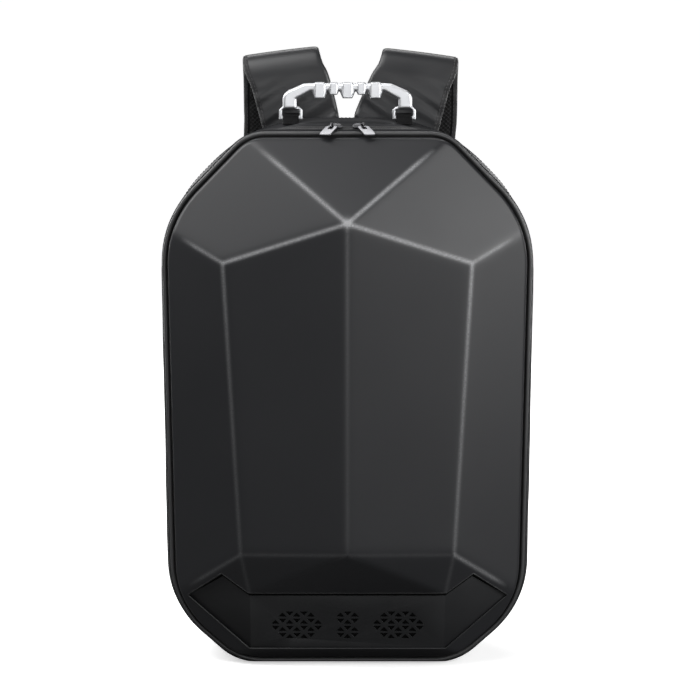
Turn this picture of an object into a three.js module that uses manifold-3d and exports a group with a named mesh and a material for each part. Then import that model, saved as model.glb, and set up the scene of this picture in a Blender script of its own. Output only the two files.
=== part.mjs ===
// Speaker backpack: a faceted hard shell on a zipped cloth body, with a cast grip and padded straps.
// Millimetres, +Z up. The shell faces -Y and the flat base stands on Z = 0.
import * as THREE from 'three';
import { mergeVertices } from 'three/addons/utils/BufferGeometryUtils.js';
import Module from 'manifold-3d';

// Gaps and small constants
const GAP = 0.3;
const WELD = 1e-4;
const FAR = 600;
const OVERCUT = 1;
const ARC_STEPS = 5;

// Rounded outlines seen from the front: right-hand corners, bottom to top
const SHELL_OUTLINE = [
  { x: 93, z: 6, r: 50 },
  { x: 148.5, z: 53.5, r: 78 },
  { x: 155, z: 387, r: 90 },
  { x: 84, z: 460, r: 32 },
];
const EDGE_OUTLINE = [
  { x: 95.5, z: 0, r: 50 },
  { x: 153.4, z: 50.5, r: 82 },
  { x: 160, z: 389.5, r: 94 },
  { x: 86.5, z: 465, r: 37 },
];
const BODY_OUTLINE = [
  { x: 99, z: 0, r: 48 },
  { x: 158, z: 46, r: 86 },
  { x: 162.5, z: 385, r: 122 },
  { x: 82, z: 471.5, r: 150 },
];

// Shell: depth is measured forward from the rim
const RIM_Y = -40;
const RIM_DEPTH = 12;
const SHELL_WALL = 3;
const RIDGE_CUT = 0.7;
const FLANGE = { out: 4.8, thick: 1.4 };
const SHELL_SIDE = [
  { depth: 0, inset: 0 },
  { depth: 9, inset: 0 },
  { depth: 12.5, inset: 2.5 },
  { depth: 110, inset: 55 },
];
const VERTEX = {
  crown: { x: 0, z: 392.4, depth: 70 },
  brow: { x: 106.3, z: 355.9, depth: 41 },
  hip: { x: 91.6, z: 104.5, depth: 47.3 },
  chin: { x: 0, z: 109.1, depth: 72.6 },
  fold: { x: 84.5, z: 68.6, depth: 38 },
  top: { x: 82, z: 457, depth: RIM_DEPTH },
  shoulder: { x: 154, z: 381, depth: RIM_DEPTH },
  flank: { x: 148.5, z: 64, depth: RIM_DEPTH },
  foot: { x: 84, z: 4, depth: 16.6 },
  sole: { x: 84, z: 15.5, depth: 20.4 },
  toe: { x: 84, z: 6, depth: 8 },
};
// Facets of the shell, each through three corners; a minus sign takes the left-hand one
const UPPER_FACETS = {
  forehead: ['crown', 'top', '-top'],
  temple: ['crown', 'top', 'shoulder'],
  cheek: ['crown', 'brow', 'hip'],
  side: ['brow', 'shoulder', 'flank'],
  jaw: ['hip', 'chin', 'fold'],
  throat: ['chin', 'fold', '-fold'],
  wing: ['hip', 'flank', 'fold'],
};
const LOWER_FACETS = {
  side: UPPER_FACETS.side,
  wing: UPPER_FACETS.wing,
  panel: ['fold', '-fold', 'foot'],
  sole: ['sole', '-sole', 'toe'],
};
const RIDGES = [
  { facets: ['forehead', 'temple'], at: 'crown' },
  { facets: ['temple', 'cheek'], at: 'crown' },
  { facets: ['temple', 'side'], at: 'brow' },
  { facets: ['cheek', 'side'], at: 'brow' },
  { facets: ['cheek', 'jaw'], at: 'hip' },
  { facets: ['side', 'wing'], at: 'hip' },
];

// Speaker panel: outline seen from the front, right-hand corners from the bottom up
const PANEL_OUTLINE = [
  { x: 84.4, z: 16.5 },
  { x: 138, z: 62.6 },
  { x: 107.6, z: 85.5 },
  { x: 84.5, z: 69 },
];
const PANEL = { recess: 2, thick: 3, seam: 0.6, groove: 2.6 };
const SPEAKER = { drop: 7, lap: 3, backY: -44 };
const GRILLE = { z: 38.6, pitch: 12.3, row: 6.86, solidity: 0.43 };
const GRILLE_GROUPS = [
  { x: -44, rows: [5, 7, 7, 5], firstUp: [true, true, false, false] },
  { x: 0, rows: [3, 3, 3, 3], firstUp: [true, false, true, false] },
  { x: 44, rows: [5, 7, 7, 5], firstUp: [true, true, false, false] },
];

// Cloth sides: how far each section has swelled from the edge outline to the body outline
const CLOTH = 2.4;
const SECTIONS = [
  { y: -39.7, swell: 0 },
  { y: -33.8, swell: 0.45 },
  { y: -26.2, swell: 0.75 },
  { y: -15, swell: 0.95 },
  { y: 5, swell: 1 },
  { y: 25, swell: 1 },
  { y: 36, swell: 0.93 },
  { y: 44, swell: 0.78 },
];
const ZIP = { front: -36.5, back: -29.5, thick: 1.6, sunk: 0.4, lip: 1.6, endX: 84, endZ: 20 };
const PIPING = { radius: 1.8, out: 3, y: -43.5, sides: 6 };
const BACK_PAD = [
  { y: 44.3, inset: 3 },
  { y: 47, inset: 0.8 },
  { y: 53, inset: 0.8 },
  { y: 56.5, inset: 3 },
  { y: 58, inset: 8 },
];

// Zip sliders and pull tabs, right-hand side; the tab leans forward and outward
const SLIDER = { x: 9.8, y: -32.8, length: 9.8, width: 6.8, rise: 0.9 };
const CAP = { half: 5.4, height: 2.6, front: -35.4, back: -30.2 };
const PULL_AXIS = { x: 13.4, y: -38, z: 468.5 };
const HOOK = { span: 6, wire: 1.6, leg: 3 };
const TAB = { length: 19, width: 10.5, thick: 1.6, eye: 6.4, slot: 3.4, heel: 0.9, corner: 1.5 };
const TAB_TURN = THREE.MathUtils.degToRad(70);
const TAB_DROOP = THREE.MathUtils.degToRad(17.5);

// Grip handle, seen from the front: right-hand outlines
const HANDLE_Y = 8;
const GRIP = { top: 503, valley: 496.3, half: 32, depth: 12, bevel: 2 };
const KNUCKLES = [
  { x: -24.2, drop: 6, half: 4.3, foot: 6.8 },
  { x: -12.1, drop: 3, half: 3.2, foot: 4.6 },
  { x: 0, drop: 6, half: 4.3, foot: 6.8 },
  { x: 12.1, drop: 3, half: 3.2, foot: 4.6 },
  { x: 24.2, drop: 6, half: 4.3, foot: 6.8 },
];
const COLLAR = { proud: 0.8, bevel: 0.7 };
const ARM_OUTER = [
  { x: 38.2, z: 502.6 },
  { x: 51.6, z: 496.8 },
  { x: 55, z: 494 },
  { x: 56.2, z: 490.2 },
  { x: 56.2, z: 481 },
];
const ARM_INNER = [
  { x: 44.2, z: 481 },
  { x: 44.2, z: 489.6 },
];
const RING = { x: 49.3, bottom: 471.3, top: 482.6, width: 20.4, bar: 3.6, eye: 5.3, side: 2.6, crown: 2.6, depth: 3.8 };
const RING_BEVEL = 0.8;
const LOOP = { width: 14, inner: 3, thick: 1.3, sunk: 8, sides: 12 };

// Shoulder straps, right-hand side: one row for each section, from the sewn top to the buckle
const STRAP = [
  { x: 36, y: 64.2, z: 428, width: 64, thick: 10, tilt: 9 },
  { x: 40.5, y: 64.3, z: 447, width: 69, thick: 10, tilt: 9 },
  { x: 45, y: 65, z: 468, width: 70, thick: 10, tilt: 9 },
  { x: 54.5, y: 66.6, z: 499, width: 68, thick: 10, tilt: 9 },
  { x: 61.5, y: 69.2, z: 513, width: 66, thick: 10, tilt: 8 },
  { x: 64, y: 74, z: 521.3, width: 65, thick: 10, tilt: 8 },
  { x: 64.5, y: 81, z: 522.6, width: 65, thick: 10, tilt: 7 },
  { x: 64.5, y: 87.5, z: 516.5, width: 65, thick: 10, tilt: 6 },
  { x: 64, y: 91.5, z: 502, width: 65, thick: 10, tilt: 4 },
  { x: 63.5, y: 98, z: 462, width: 65, thick: 10, tilt: 0 },
  { x: 61, y: 106, z: 395, width: 65, thick: 10, tilt: 0 },
  { x: 66, y: 111, z: 325, width: 62, thick: 10, tilt: 0 },
  { x: 73, y: 110, z: 255, width: 57, thick: 10, tilt: 0 },
  { x: 81, y: 103, z: 195, width: 49, thick: 9, tilt: 0 },
  { x: 85, y: 98.5, z: 170, width: 40, thick: 7, tilt: 0 },
  { x: 86, y: 97.3, z: 164, width: 32, thick: 5, tilt: 0 },
];
const STRAP_EDGE = { round: 0.36, slope: 1.6 };
const BUCKLE = { x: 89.2, y: 94.2, z: 144, width: 36, length: 27, bar: 4.6, rim: 3.6, thick: 4 };
const BUCKLE_LEAN = { side: 10, back: -7 };
const WEB = { width: 25, thick: 1.6, inner: 3.35, sides: 14, legs: 21.8, tuck: 6.7 };
const WEB_EDGE = { round: 0.2, slope: 1.6 };
const WEBBING = [
  { x: 95.2, y: 90, z: 112 },
  { x: 101.5, y: 82, z: 92 },
  { x: 110, y: 72, z: 70 },
  { x: 117.5, y: 64.8, z: 51 },
  { x: 122, y: 62.4, z: 40 },
  { x: 127, y: 62, z: 29 },
];
const ANCHOR = { y: 58.4, thick: 2.6 };
const ANCHOR_OUTLINE = [
  { x: 92, z: 41 },
  { x: 128, z: 13.5 },
  { x: 139, z: 24 },
  { x: 136, z: 44 },
  { x: 112, z: 52 },
];

const wasm = await Module();
wasm.setup();

// Joining and cutting
function solid(geometry) {
  const bare = new THREE.BufferGeometry();
  bare.setAttribute('position', geometry.getAttribute('position'));
  bare.setIndex(geometry.index);
  const welded = mergeVertices(bare, WELD);
  const corners = welded.index.array;
  const kept = [];
  for (let i = 0; i < corners.length; i += 3) {
    const [a, b, c] = corners.slice(i, i + 3);
    if (a !== b && b !== c && c !== a) kept.push(a, b, c);
  }
  const vertProperties = new Float32Array(welded.getAttribute('position').array);
  return new wasm.Manifold(new wasm.Mesh({ numProp: 3, vertProperties, triVerts: new Uint32Array(kept) }));
}

function geometryOf(body) {
  const mesh = body.getMesh();
  const geometry = new THREE.BufferGeometry();
  geometry.setAttribute('position', new THREE.BufferAttribute(new Float32Array(mesh.vertProperties), 3));
  geometry.setIndex(new THREE.BufferAttribute(new Uint32Array(mesh.triVerts), 1));
  return geometry;
}

// A closed skin over rows of points; the rows end in flat caps or join up in a loop
function skin(rows, looped) {
  const around = rows[0].length;
  const points = rows.flat();
  const corners = [];
  const strips = looped ? rows.length : rows.length - 1;
  for (let j = 0; j < strips; j += 1) {
    for (let i = 0; i < around; i += 1) {
      const a = j * around + i;
      const b = j * around + ((i + 1) % around);
      const c = ((j + 1) % rows.length) * around + ((i + 1) % around);
      const d = ((j + 1) % rows.length) * around + i;
      corners.push(a, b, c, a, c, d);
    }
  }
  if (!looped) {
    const last = (rows.length - 1) * around;
    for (let i = 1; i < around - 1; i += 1) {
      corners.push(0, i + 1, i, last, last + i, last + i + 1);
    }
  }
  const geometry = new THREE.BufferGeometry().setFromPoints(points);
  geometry.setIndex(volumeOf(points, corners) < 0 ? corners.reverse() : corners);
  return geometry;
}

function volumeOf(points, corners) {
  let sum = 0;
  for (let i = 0; i < corners.length; i += 3) {
    const [a, b, c] = corners.slice(i, i + 3).map((k) => points[k]);
    sum += a.dot(b.clone().cross(c));
  }
  return sum / 6;
}

function mirrored(geometry) {
  const copy = geometry.clone().scale(-1, 1, 1);
  const order = copy.index ? [...copy.index.array] : [...Array(copy.getAttribute('position').count).keys()];
  return copy.setIndex(order.reverse());
}

// Outlines
function bothSides(right) {
  return [...right, ...right.toReversed().map((row) => ({ ...row, x: -row.x }))];
}

function ring(outline, inset) {
  const corners = bothSides(outline).map((row) => ({ at: new THREE.Vector2(row.x, row.z), r: row.r }));
  return corners.flatMap(({ at, r }, i) => {
    const arriving = at.clone().sub(corners.at(i - 1).at).normalize();
    const leaving = corners[(i + 1) % corners.length].at.clone().sub(at).normalize();
    const turn = Math.acos(arriving.dot(leaving));
    const inward = new THREE.Vector2(-arriving.y, arriving.x);
    const start = at.clone().addScaledVector(arriving, -r * Math.tan(turn / 2));
    const centre = start.addScaledVector(inward, r);
    return Array.from({ length: ARC_STEPS + 1 }, (_, k) => {
      const out = inward.clone().rotateAround(new THREE.Vector2(), (turn * k) / ARC_STEPS);
      return centre.clone().addScaledVector(out, inset - r);
    });
  });
}

function raised(points, y) {
  return points.map((p) => new THREE.Vector3(p.x, y, p.y));
}

function swollen(swell) {
  return EDGE_OUTLINE.map((row, i) => ({
    x: THREE.MathUtils.lerp(row.x, BODY_OUTLINE[i].x, swell),
    z: THREE.MathUtils.lerp(row.z, BODY_OUTLINE[i].z, swell),
    r: THREE.MathUtils.lerp(row.r, BODY_OUTLINE[i].r, swell),
  }));
}

function swellAt(y) {
  const k = Math.max(1, SECTIONS.findIndex((row) => row.y >= y));
  const [a, b] = [SECTIONS[k - 1], SECTIONS[k]];
  return THREE.MathUtils.mapLinear(y, a.y, b.y, a.swell, b.swell);
}

function clothRing(y, inset) {
  return raised(ring(swollen(swellAt(y)), inset), y);
}

function topOf(x, y) {
  const line = clothRing(y, 0).filter((p) => p.z > BODY_OUTLINE[2].z).sort((a, b) => a.x - b.x);
  const k = line.findIndex((p) => p.x >= x);
  return THREE.MathUtils.mapLinear(x, line[k - 1].x, line[k].x, line[k - 1].z, line[k].z);
}

function shapeOf(points) {
  return new THREE.Shape(points.map((p) => new THREE.Vector2(p.x, p.z ?? p.y)));
}

// A flat outline in X and Z, extruded from the front face to the back face
function prism(shape, front, back, bevel = 0) {
  const geometry = new THREE.ExtrudeGeometry(shape, {
    depth: back - front - 2 * bevel,
    bevelEnabled: bevel > 0,
    bevelThickness: bevel,
    bevelSize: bevel,
    bevelOffset: -bevel,
    bevelSegments: 2,
    curveSegments: ARC_STEPS,
  });
  return geometry.rotateX(Math.PI / 2).translate(0, back - bevel, 0);
}

// A block that fills everything in front of a plane
function beyond(plane) {
  const block = new THREE.BoxGeometry(FAR * 2, FAR * 2, FAR).translate(0, 0, FAR / 2);
  block.applyQuaternion(new THREE.Quaternion().setFromUnitVectors(new THREE.Vector3(0, 0, 1), plane.normal));
  const foot = plane.coplanarPoint(new THREE.Vector3());
  return solid(block.translate(foot.x, foot.y, foot.z));
}

// Facet planes of the shell
function vertex(name) {
  const row = VERTEX[name.replace('-', '')];
  return new THREE.Vector3(name.startsWith('-') ? -row.x : row.x, RIM_Y - row.depth, row.z);
}

function facetPlane(names) {
  const plane = new THREE.Plane().setFromCoplanarPoints(...names.map(vertex));
  return plane.normal.y > 0 ? plane.negate() : plane;
}

function flipped(plane) {
  const normal = plane.normal.clone().setX(-plane.normal.x);
  return new THREE.Plane(normal, plane.constant);
}

function pushed(plane, distance) {
  return new THREE.Plane(plane.normal.clone(), plane.constant + distance);
}

function ridgePlane({ facets, at }) {
  const [a, b] = facets.map((name) => facetPlane(UPPER_FACETS[name]));
  const normal = a.normal.clone().add(b.normal).normalize();
  const plane = new THREE.Plane().setFromNormalAndCoplanarPoint(normal, vertex(at));
  return pushed(plane, RIDGE_CUT);
}

function keelPlane() {
  const cheek = facetPlane(UPPER_FACETS.cheek);
  const normal = cheek.normal.clone().setX(0).normalize();
  return pushed(new THREE.Plane().setFromNormalAndCoplanarPoint(normal, vertex('crown')), RIDGE_CUT);
}

// The foot of the shell ends where the throat folds over it
function foldLevel() {
  return new THREE.Plane().setFromNormalAndCoplanarPoint(new THREE.Vector3(0, 0, 1), vertex('fold'));
}

const upperPlanes = Object.values(UPPER_FACETS).map(facetPlane);
const ridgePlanes = RIDGES.map(ridgePlane);
const lowerPlanes = Object.values(LOWER_FACETS).map(facetPlane);
const bothWays = (planes) => planes.flatMap((plane) => [plane, flipped(plane)]);

function carved(block, planes, inward) {
  return planes.reduce((body, plane) => body.subtract(beyond(pushed(plane, inward))), block);
}

function shellBlock(inset) {
  const rows = SHELL_SIDE.map((row) => raised(ring(SHELL_OUTLINE, row.inset + inset), RIM_Y - row.depth));
  return solid(skin(rows, false));
}

function gem(inset, backY) {
  const back = solid(prism(shapeOf(ring(SHELL_OUTLINE, inset)), RIM_Y - OVERCUT, backY));
  const block = shellBlock(inset);
  const upper = carved(block, [...bothWays([...upperPlanes, ...ridgePlanes]), keelPlane()], inset);
  const foot = carved(block, [...bothWays(lowerPlanes), foldLevel()], inset);
  return upper.add(foot).add(back);
}

// Panel outlines: the opening, and the panel with a wider groove along its top edges
function panelPoints(grow, lower) {
  const centre = new THREE.Vector2(0, GRILLE.z);
  return bothSides(PANEL_OUTLINE).map((row) => {
    const topEdge = row.z > VERTEX.flank.z;
    const p = new THREE.Vector2(row.x, row.z - (topEdge ? lower : 0));
    return p.addScaledVector(p.clone().sub(centre).normalize(), grow);
  });
}

function panelPrism(grow, lower) {
  return solid(prism(shapeOf(panelPoints(grow, lower)), RIM_Y - FAR, RIM_Y));
}

function underPanel(inward) {
  return carved(panelPrism(SPEAKER.lap, 0), bothWays(lowerPlanes.slice(0, 3)), inward);
}

// Grille: triangles on a lattice, each shrunk about its own centre
function grilleShapes() {
  const half = GRILLE.pitch / 2;
  return GRILLE_GROUPS.flatMap((group) => group.rows.flatMap((count, row) => {
    const middle = GRILLE.z + (1.5 - row) * GRILLE.row;
    return Array.from({ length: count }, (_, k) => {
      const up = group.firstUp[row] === (k % 2 === 0);
      const x = group.x + (k - (count - 1) / 2) * half;
      const tip = up ? GRILLE.row : -GRILLE.row;
      const shrink = 1 - GRILLE.solidity;
      const foot = middle - tip / 6;
      return new THREE.Shape([
        new THREE.Vector2(x - half * shrink, foot - (tip / 3) * shrink),
        new THREE.Vector2(x + half * shrink, foot - (tip / 3) * shrink),
        new THREE.Vector2(x, foot + ((2 * tip) / 3) * shrink),
      ]);
    });
  }));
}

function frontShell() {
  const plate = prism(shapeOf(ring(SHELL_OUTLINE, -FLANGE.out)), RIM_Y - FLANGE.thick, RIM_Y);
  const dome = gem(0, RIM_Y).add(solid(plate));
  return geometryOf(dome.subtract(gem(SHELL_WALL, RIM_Y + OVERCUT)).subtract(panelPrism(PANEL.seam, 0)));
}

function speakerPanel() {
  const front = carved(panelPrism(0, PANEL.groove), bothWays(lowerPlanes.slice(0, 3)), PANEL.recess);
  const plate = front.subtract(underPanel(PANEL.recess + PANEL.thick));
  return geometryOf(plate.subtract(solid(prism(grilleShapes(), RIM_Y - FAR, RIM_Y))));
}

function speakerBox() {
  const room = gem(SHELL_WALL + GAP, RIM_Y);
  const behind = new THREE.Plane(new THREE.Vector3(0, 1, 0), -SPEAKER.backY);
  return geometryOf(underPanel(SPEAKER.drop).intersect(room).subtract(beyond(behind)));
}

// Cloth bands: a closed profile carried round the outline
function clothBand(front, back, sunk, thick) {
  const middle = SECTIONS.map((row) => row.y).filter((y) => y > front && y < back);
  const stations = [front, ...middle, back];
  const outer = stations.map((y) => clothRing(y, sunk));
  const inner = stations.toReversed().map((y) => clothRing(y, sunk + thick));
  return skin([...outer, ...inner], true);
}

// The zip stops at the bottom corners: this block holds the stretch of cloth between its ends
function baseBlock(grow) {
  return solid(new THREE.BoxGeometry(2 * (ZIP.endX + grow), FAR, 2 * ZIP.endZ));
}

function rearGusset() {
  const start = ZIP.back + GAP;
  const band = solid(clothBand(ZIP.front, SECTIONS.at(-1).y, 0, CLOTH));
  const slot = solid(clothBand(ZIP.front - GAP, start, -OVERCUT, CLOTH + 2 * OVERCUT));
  return geometryOf(band.subtract(slot.subtract(baseBlock(0))));
}

function zipTape() {
  const middle = (ZIP.front + ZIP.back) / 2;
  const profile = [
    { y: ZIP.front, inset: ZIP.sunk },
    { y: middle - ZIP.lip, inset: ZIP.sunk / 2 },
    { y: middle, inset: -ZIP.sunk },
    { y: middle + ZIP.lip, inset: ZIP.sunk / 2 },
    { y: ZIP.back, inset: ZIP.sunk },
    { y: ZIP.back, inset: ZIP.sunk + ZIP.thick },
    { y: ZIP.front, inset: ZIP.sunk + ZIP.thick },
  ];
  const band = solid(skin(profile.map((row) => clothRing(row.y, row.inset)), true));
  return geometryOf(band.subtract(baseBlock(GAP)));
}

function edgePiping() {
  const rows = Array.from({ length: PIPING.sides }, (_, k) => {
    const angle = (2 * Math.PI * k) / PIPING.sides;
    const inset = -PIPING.out + PIPING.radius * Math.cos(angle);
    return raised(ring(SHELL_OUTLINE, inset), PIPING.y + PIPING.radius * Math.sin(angle));
  });
  return skin(rows, true);
}

function backPanel() {
  const outline = swollen(SECTIONS.at(-1).swell);
  return skin(BACK_PAD.map((row) => raised(ring(outline, row.inset), row.y)), false);
}

// The cloth body as one block, grown by the gap that its neighbours keep
function bodyBlock(grow) {
  return solid(skin(SECTIONS.map((row) => clothRing(row.y, -grow)), false));
}

// Slider: a foot on the zip, a round cap along it, and a hook that holds the tab's heel bar
function hookShape() {
  const outer = (HOOK.span + HOOK.wire) / 2;
  const inner = (HOOK.span - HOOK.wire) / 2;
  const shape = new THREE.Shape();
  shape.moveTo(outer, 0);
  shape.absarc(0, 0, outer, 0, Math.PI, false);
  shape.lineTo(-outer, -HOOK.leg);
  shape.lineTo(-inner, -HOOK.leg);
  shape.absarc(0, 0, inner, Math.PI, 0, true);
  return shape;
}

function capShape(seat) {
  const shape = new THREE.Shape();
  shape.moveTo(CAP.half, -SLIDER.rise);
  shape.absellipse(0, 0, CAP.half, CAP.height, 0, Math.PI, false);
  shape.lineTo(-CAP.half, -SLIDER.rise);
  return prism(shape, CAP.front, CAP.back).translate(seat.x, 0, seat.z);
}

function zipSlider() {
  const seat = new THREE.Vector3(SLIDER.x, SLIDER.y, topOf(SLIDER.x, SLIDER.y) + SLIDER.rise);
  const foot = new THREE.BoxGeometry(SLIDER.length, SLIDER.width, 2 * SLIDER.rise);
  foot.translate(seat.x, seat.y, seat.z - SLIDER.rise);
  const hook = prism(hookShape(), -HOOK.wire / 2, HOOK.wire / 2).rotateZ(-TAB_TURN);
  hook.translate(PULL_AXIS.x, PULL_AXIS.y, PULL_AXIS.z);
  const whole = solid(foot).add(solid(capShape(seat))).add(solid(hook));
  return geometryOf(whole.subtract(bodyBlock(ZIP.sunk + GAP)));
}

// Pull tab: a flat plate with a slot, its heel bar lying inside the hook
function tabShape() {
  const half = TAB.width / 2;
  const shape = new THREE.Shape();
  shape.moveTo(-TAB.heel, -half + TAB.corner);
  shape.lineTo(-TAB.heel + TAB.corner, -half);
  shape.lineTo(TAB.length - TAB.corner, -half);
  shape.lineTo(TAB.length, -half + TAB.corner);
  shape.lineTo(TAB.length, half - TAB.corner);
  shape.lineTo(TAB.length - TAB.corner, half);
  shape.lineTo(-TAB.heel + TAB.corner, half);
  shape.lineTo(-TAB.heel, half - TAB.corner);
  const slot = new THREE.Path();
  slot.moveTo(TAB.heel, -TAB.slot / 2);
  slot.lineTo(TAB.heel, TAB.slot / 2);
  slot.lineTo(TAB.eye, TAB.slot / 2);
  slot.lineTo(TAB.eye, -TAB.slot / 2);
  shape.holes.push(slot);
  return shape;
}

function pullTab() {
  const plate = new THREE.ExtrudeGeometry(tabShape(), { depth: TAB.thick, bevelEnabled: false });
  plate.translate(0, 0, -TAB.thick / 2).rotateY(TAB_DROOP).rotateZ(-TAB_TURN);
  return plate.translate(PULL_AXIS.x, PULL_AXIS.y, PULL_AXIS.z);
}

// Handle: the grip and arms are one thick outline, the end rings two thin ones
function gripShape() {
  const right = [{ x: GRIP.half, z: GRIP.top }, ...ARM_OUTER, ...ARM_INNER, { x: GRIP.half, z: GRIP.valley }];
  const under = KNUCKLES.toReversed().flatMap(({ x, drop, half, foot }) => [
    { x: x + foot, z: GRIP.valley },
    { x: x + half, z: GRIP.valley - drop },
    { x: x - half, z: GRIP.valley - drop },
    { x: x - foot, z: GRIP.valley },
  ]);
  const left = right.toReversed().map((row) => ({ ...row, x: -row.x }));
  return shapeOf([...right, ...under, ...left]);
}

// A collar stands proud of the grip at each knuckle
function gripCollar({ x, drop, half }) {
  const outline = shapeOf([
    { x: x - half, z: GRIP.valley - drop },
    { x: x + half, z: GRIP.valley - drop },
    { x: x + half, z: GRIP.top + COLLAR.proud },
    { x: x - half, z: GRIP.top + COLLAR.proud },
  ]);
  const deep = GRIP.depth / 2 + COLLAR.proud;
  return solid(prism(outline, HANDLE_Y - deep, HANDLE_Y + deep, COLLAR.bevel));
}

function ringShape() {
  const half = RING.width / 2;
  return shapeOf([
    { x: RING.x - half, z: RING.bottom },
    { x: RING.x + half, z: RING.bottom },
    { x: RING.x + half, z: RING.top - RING.crown },
    { x: RING.x + half - RING.crown, z: RING.top },
    { x: RING.x - half + RING.crown, z: RING.top },
    { x: RING.x - half, z: RING.top - RING.crown },
  ]);
}

function ringEye() {
  const box = new THREE.BoxGeometry(RING.width - 2 * RING.side, 2 * RING.depth, RING.eye);
  return solid(box.translate(RING.x, HANDLE_Y, RING.bottom + RING.bar + RING.eye / 2));
}

function handle() {
  const grip = prism(gripShape(), HANDLE_Y - GRIP.depth / 2, HANDLE_Y + GRIP.depth / 2, GRIP.bevel);
  const end = prism(ringShape(), HANDLE_Y - RING.depth / 2, HANDLE_Y + RING.depth / 2, RING_BEVEL);
  const ringRight = geometryOf(solid(end).subtract(ringEye()));
  const bare = solid(grip).add(solid(ringRight)).add(solid(mirrored(ringRight)));
  return geometryOf(KNUCKLES.map(gripCollar).reduce((body, collar) => body.add(collar), bare));
}

// Webbing loop round a bar that runs along X, with a foot on the cloth
function barAxis() {
  return RING.bottom + RING.bar / 2;
}

function loopShape(inner, thick, reach, sides) {
  const outer = inner + thick;
  const shape = new THREE.Shape();
  const steps = Array.from({ length: sides + 1 }, (_, k) => (Math.PI * k) / sides);
  const over = steps.map((a) => new THREE.Vector2(outer * Math.cos(a), outer * Math.sin(a)));
  shape.setFromPoints([...over, new THREE.Vector2(-outer, -reach), new THREE.Vector2(outer, -reach)]);
  const hole = Array.from({ length: 2 * sides }, (_, k) => (Math.PI * k) / sides);
  shape.holes.push(new THREE.Path(hole.map((a) => new THREE.Vector2(inner * Math.cos(a), inner * Math.sin(a)))));
  return shape;
}

function handleLoop() {
  const shape = loopShape(LOOP.inner, LOOP.thick, LOOP.sunk, LOOP.sides);
  const loop = new THREE.ExtrudeGeometry(shape, { depth: LOOP.width, bevelEnabled: false });
  loop.translate(0, 0, -LOOP.width / 2).rotateX(Math.PI / 2).rotateZ(Math.PI / 2);
  const placed = solid(loop.translate(RING.x, HANDLE_Y, barAxis()));
  return geometryOf(placed.subtract(bodyBlock(GAP)));
}

// A flat band with rounded edges, swept through its rows
function bandRow(row, before, after, edge) {
  const along = new THREE.Vector3(after.x - before.x, after.y - before.y, after.z - before.z).normalize();
  const across = new THREE.Vector3(1, 0, 0);
  if (row.tilt === undefined) across.addScaledVector(along, -across.dot(along)).normalize();
  else across.applyAxisAngle(new THREE.Vector3(0, 1, 0), THREE.MathUtils.degToRad(row.tilt));
  const face = new THREE.Vector3().crossVectors(across, along).normalize();
  const half = row.width / 2;
  const deep = row.thick / 2;
  const soft = edge.round * row.thick;
  const flat = half - soft * edge.slope;
  const section = [
    [half, deep - soft],
    [flat, deep],
    [-flat, deep],
    [-half, deep - soft],
    [-half, soft - deep],
    [-flat, -deep],
    [flat, -deep],
    [half, soft - deep],
  ];
  const centre = new THREE.Vector3(row.x, row.y, row.z);
  return section.map(([u, v]) => centre.clone().addScaledVector(across, u).addScaledVector(face, v));
}

function sweep(rows, edge) {
  const sections = rows.map((row, i) => {
    const before = rows[Math.max(0, i - 1)];
    const after = rows[Math.min(rows.length - 1, i + 1)];
    return bandRow(row, before, after, edge);
  });
  return skin(sections, false);
}

// Buckle frame: two slots between three bars, lying along the strap
function buckleGroup(geometry) {
  geometry.rotateY(THREE.MathUtils.degToRad(-BUCKLE_LEAN.side));
  geometry.rotateX(THREE.MathUtils.degToRad(BUCKLE_LEAN.back));
  return geometry.translate(BUCKLE.x, BUCKLE.y, BUCKLE.z);
}

function strapBuckle() {
  const halfWide = BUCKLE.width / 2;
  const halfLong = BUCKLE.length / 2;
  const frame = shapeOf([
    { x: -halfWide, z: -halfLong },
    { x: halfWide, z: -halfLong },
    { x: halfWide, z: halfLong },
    { x: -halfWide, z: halfLong },
  ]);
  const inside = halfWide - BUCKLE.rim;
  const slotTop = halfLong - BUCKLE.bar;
  [1, -1].forEach((way) => {
    frame.holes.push(shapeOf([
      { x: -inside, z: way * (BUCKLE.bar / 2) },
      { x: inside, z: way * (BUCKLE.bar / 2) },
      { x: inside, z: way * slotTop },
      { x: -inside, z: way * slotTop },
    ]));
  });
  return buckleGroup(prism(frame, -BUCKLE.thick / 2, BUCKLE.thick / 2));
}

// Loop of webbing round one of the buckle's end bars, in the buckle's own frame
function barLoop(way, reach) {
  const shape = loopShape(WEB.inner, WEB.thick, reach, WEB.sides);
  const loop = new THREE.ExtrudeGeometry(shape, { depth: WEB.width, bevelEnabled: false });
  loop.translate(0, 0, -WEB.width / 2).rotateX(Math.PI / 2).rotateZ(Math.PI / 2);
  if (way > 0) loop.rotateX(Math.PI);
  const bar = (BUCKLE.length - BUCKLE.bar) / 2;
  return buckleGroup(loop.translate(0, 0, way * bar));
}

function strapAnchor() {
  return prism(shapeOf(ANCHOR_OUTLINE), ANCHOR.y, ANCHOR.y + ANCHOR.thick);
}

function strapWebbing() {
  const rows = WEBBING.map((row) => ({ ...row, width: WEB.width, thick: WEB.thick }));
  return geometryOf(solid(sweep(rows, WEB_EDGE)).add(solid(barLoop(-1, WEB.legs))));
}

// Materials
const finish = (color, roughness, metalness) => new THREE.MeshStandardMaterial({ color, roughness, metalness });
const shellFinish = finish('#3a3b3f', 0.45, 0);
const panelFinish = finish('#2a2b2e', 0.5, 0);
const blackFinish = finish('#0c0c0d', 0.8, 0);
const clothFinish = finish('#303134', 0.6, 0);
const meshFinish = finish('#1a1b1c', 0.9, 0);
const webFinish = finish('#121213', 0.85, 0);
const castFinish = finish('#b9bbbd', 0.3, 1);
const chromeFinish = finish('#c9c9cb', 0.2, 1);
const plasticFinish = finish('#161617', 0.5, 0);

const bag = new THREE.Group();

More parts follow.
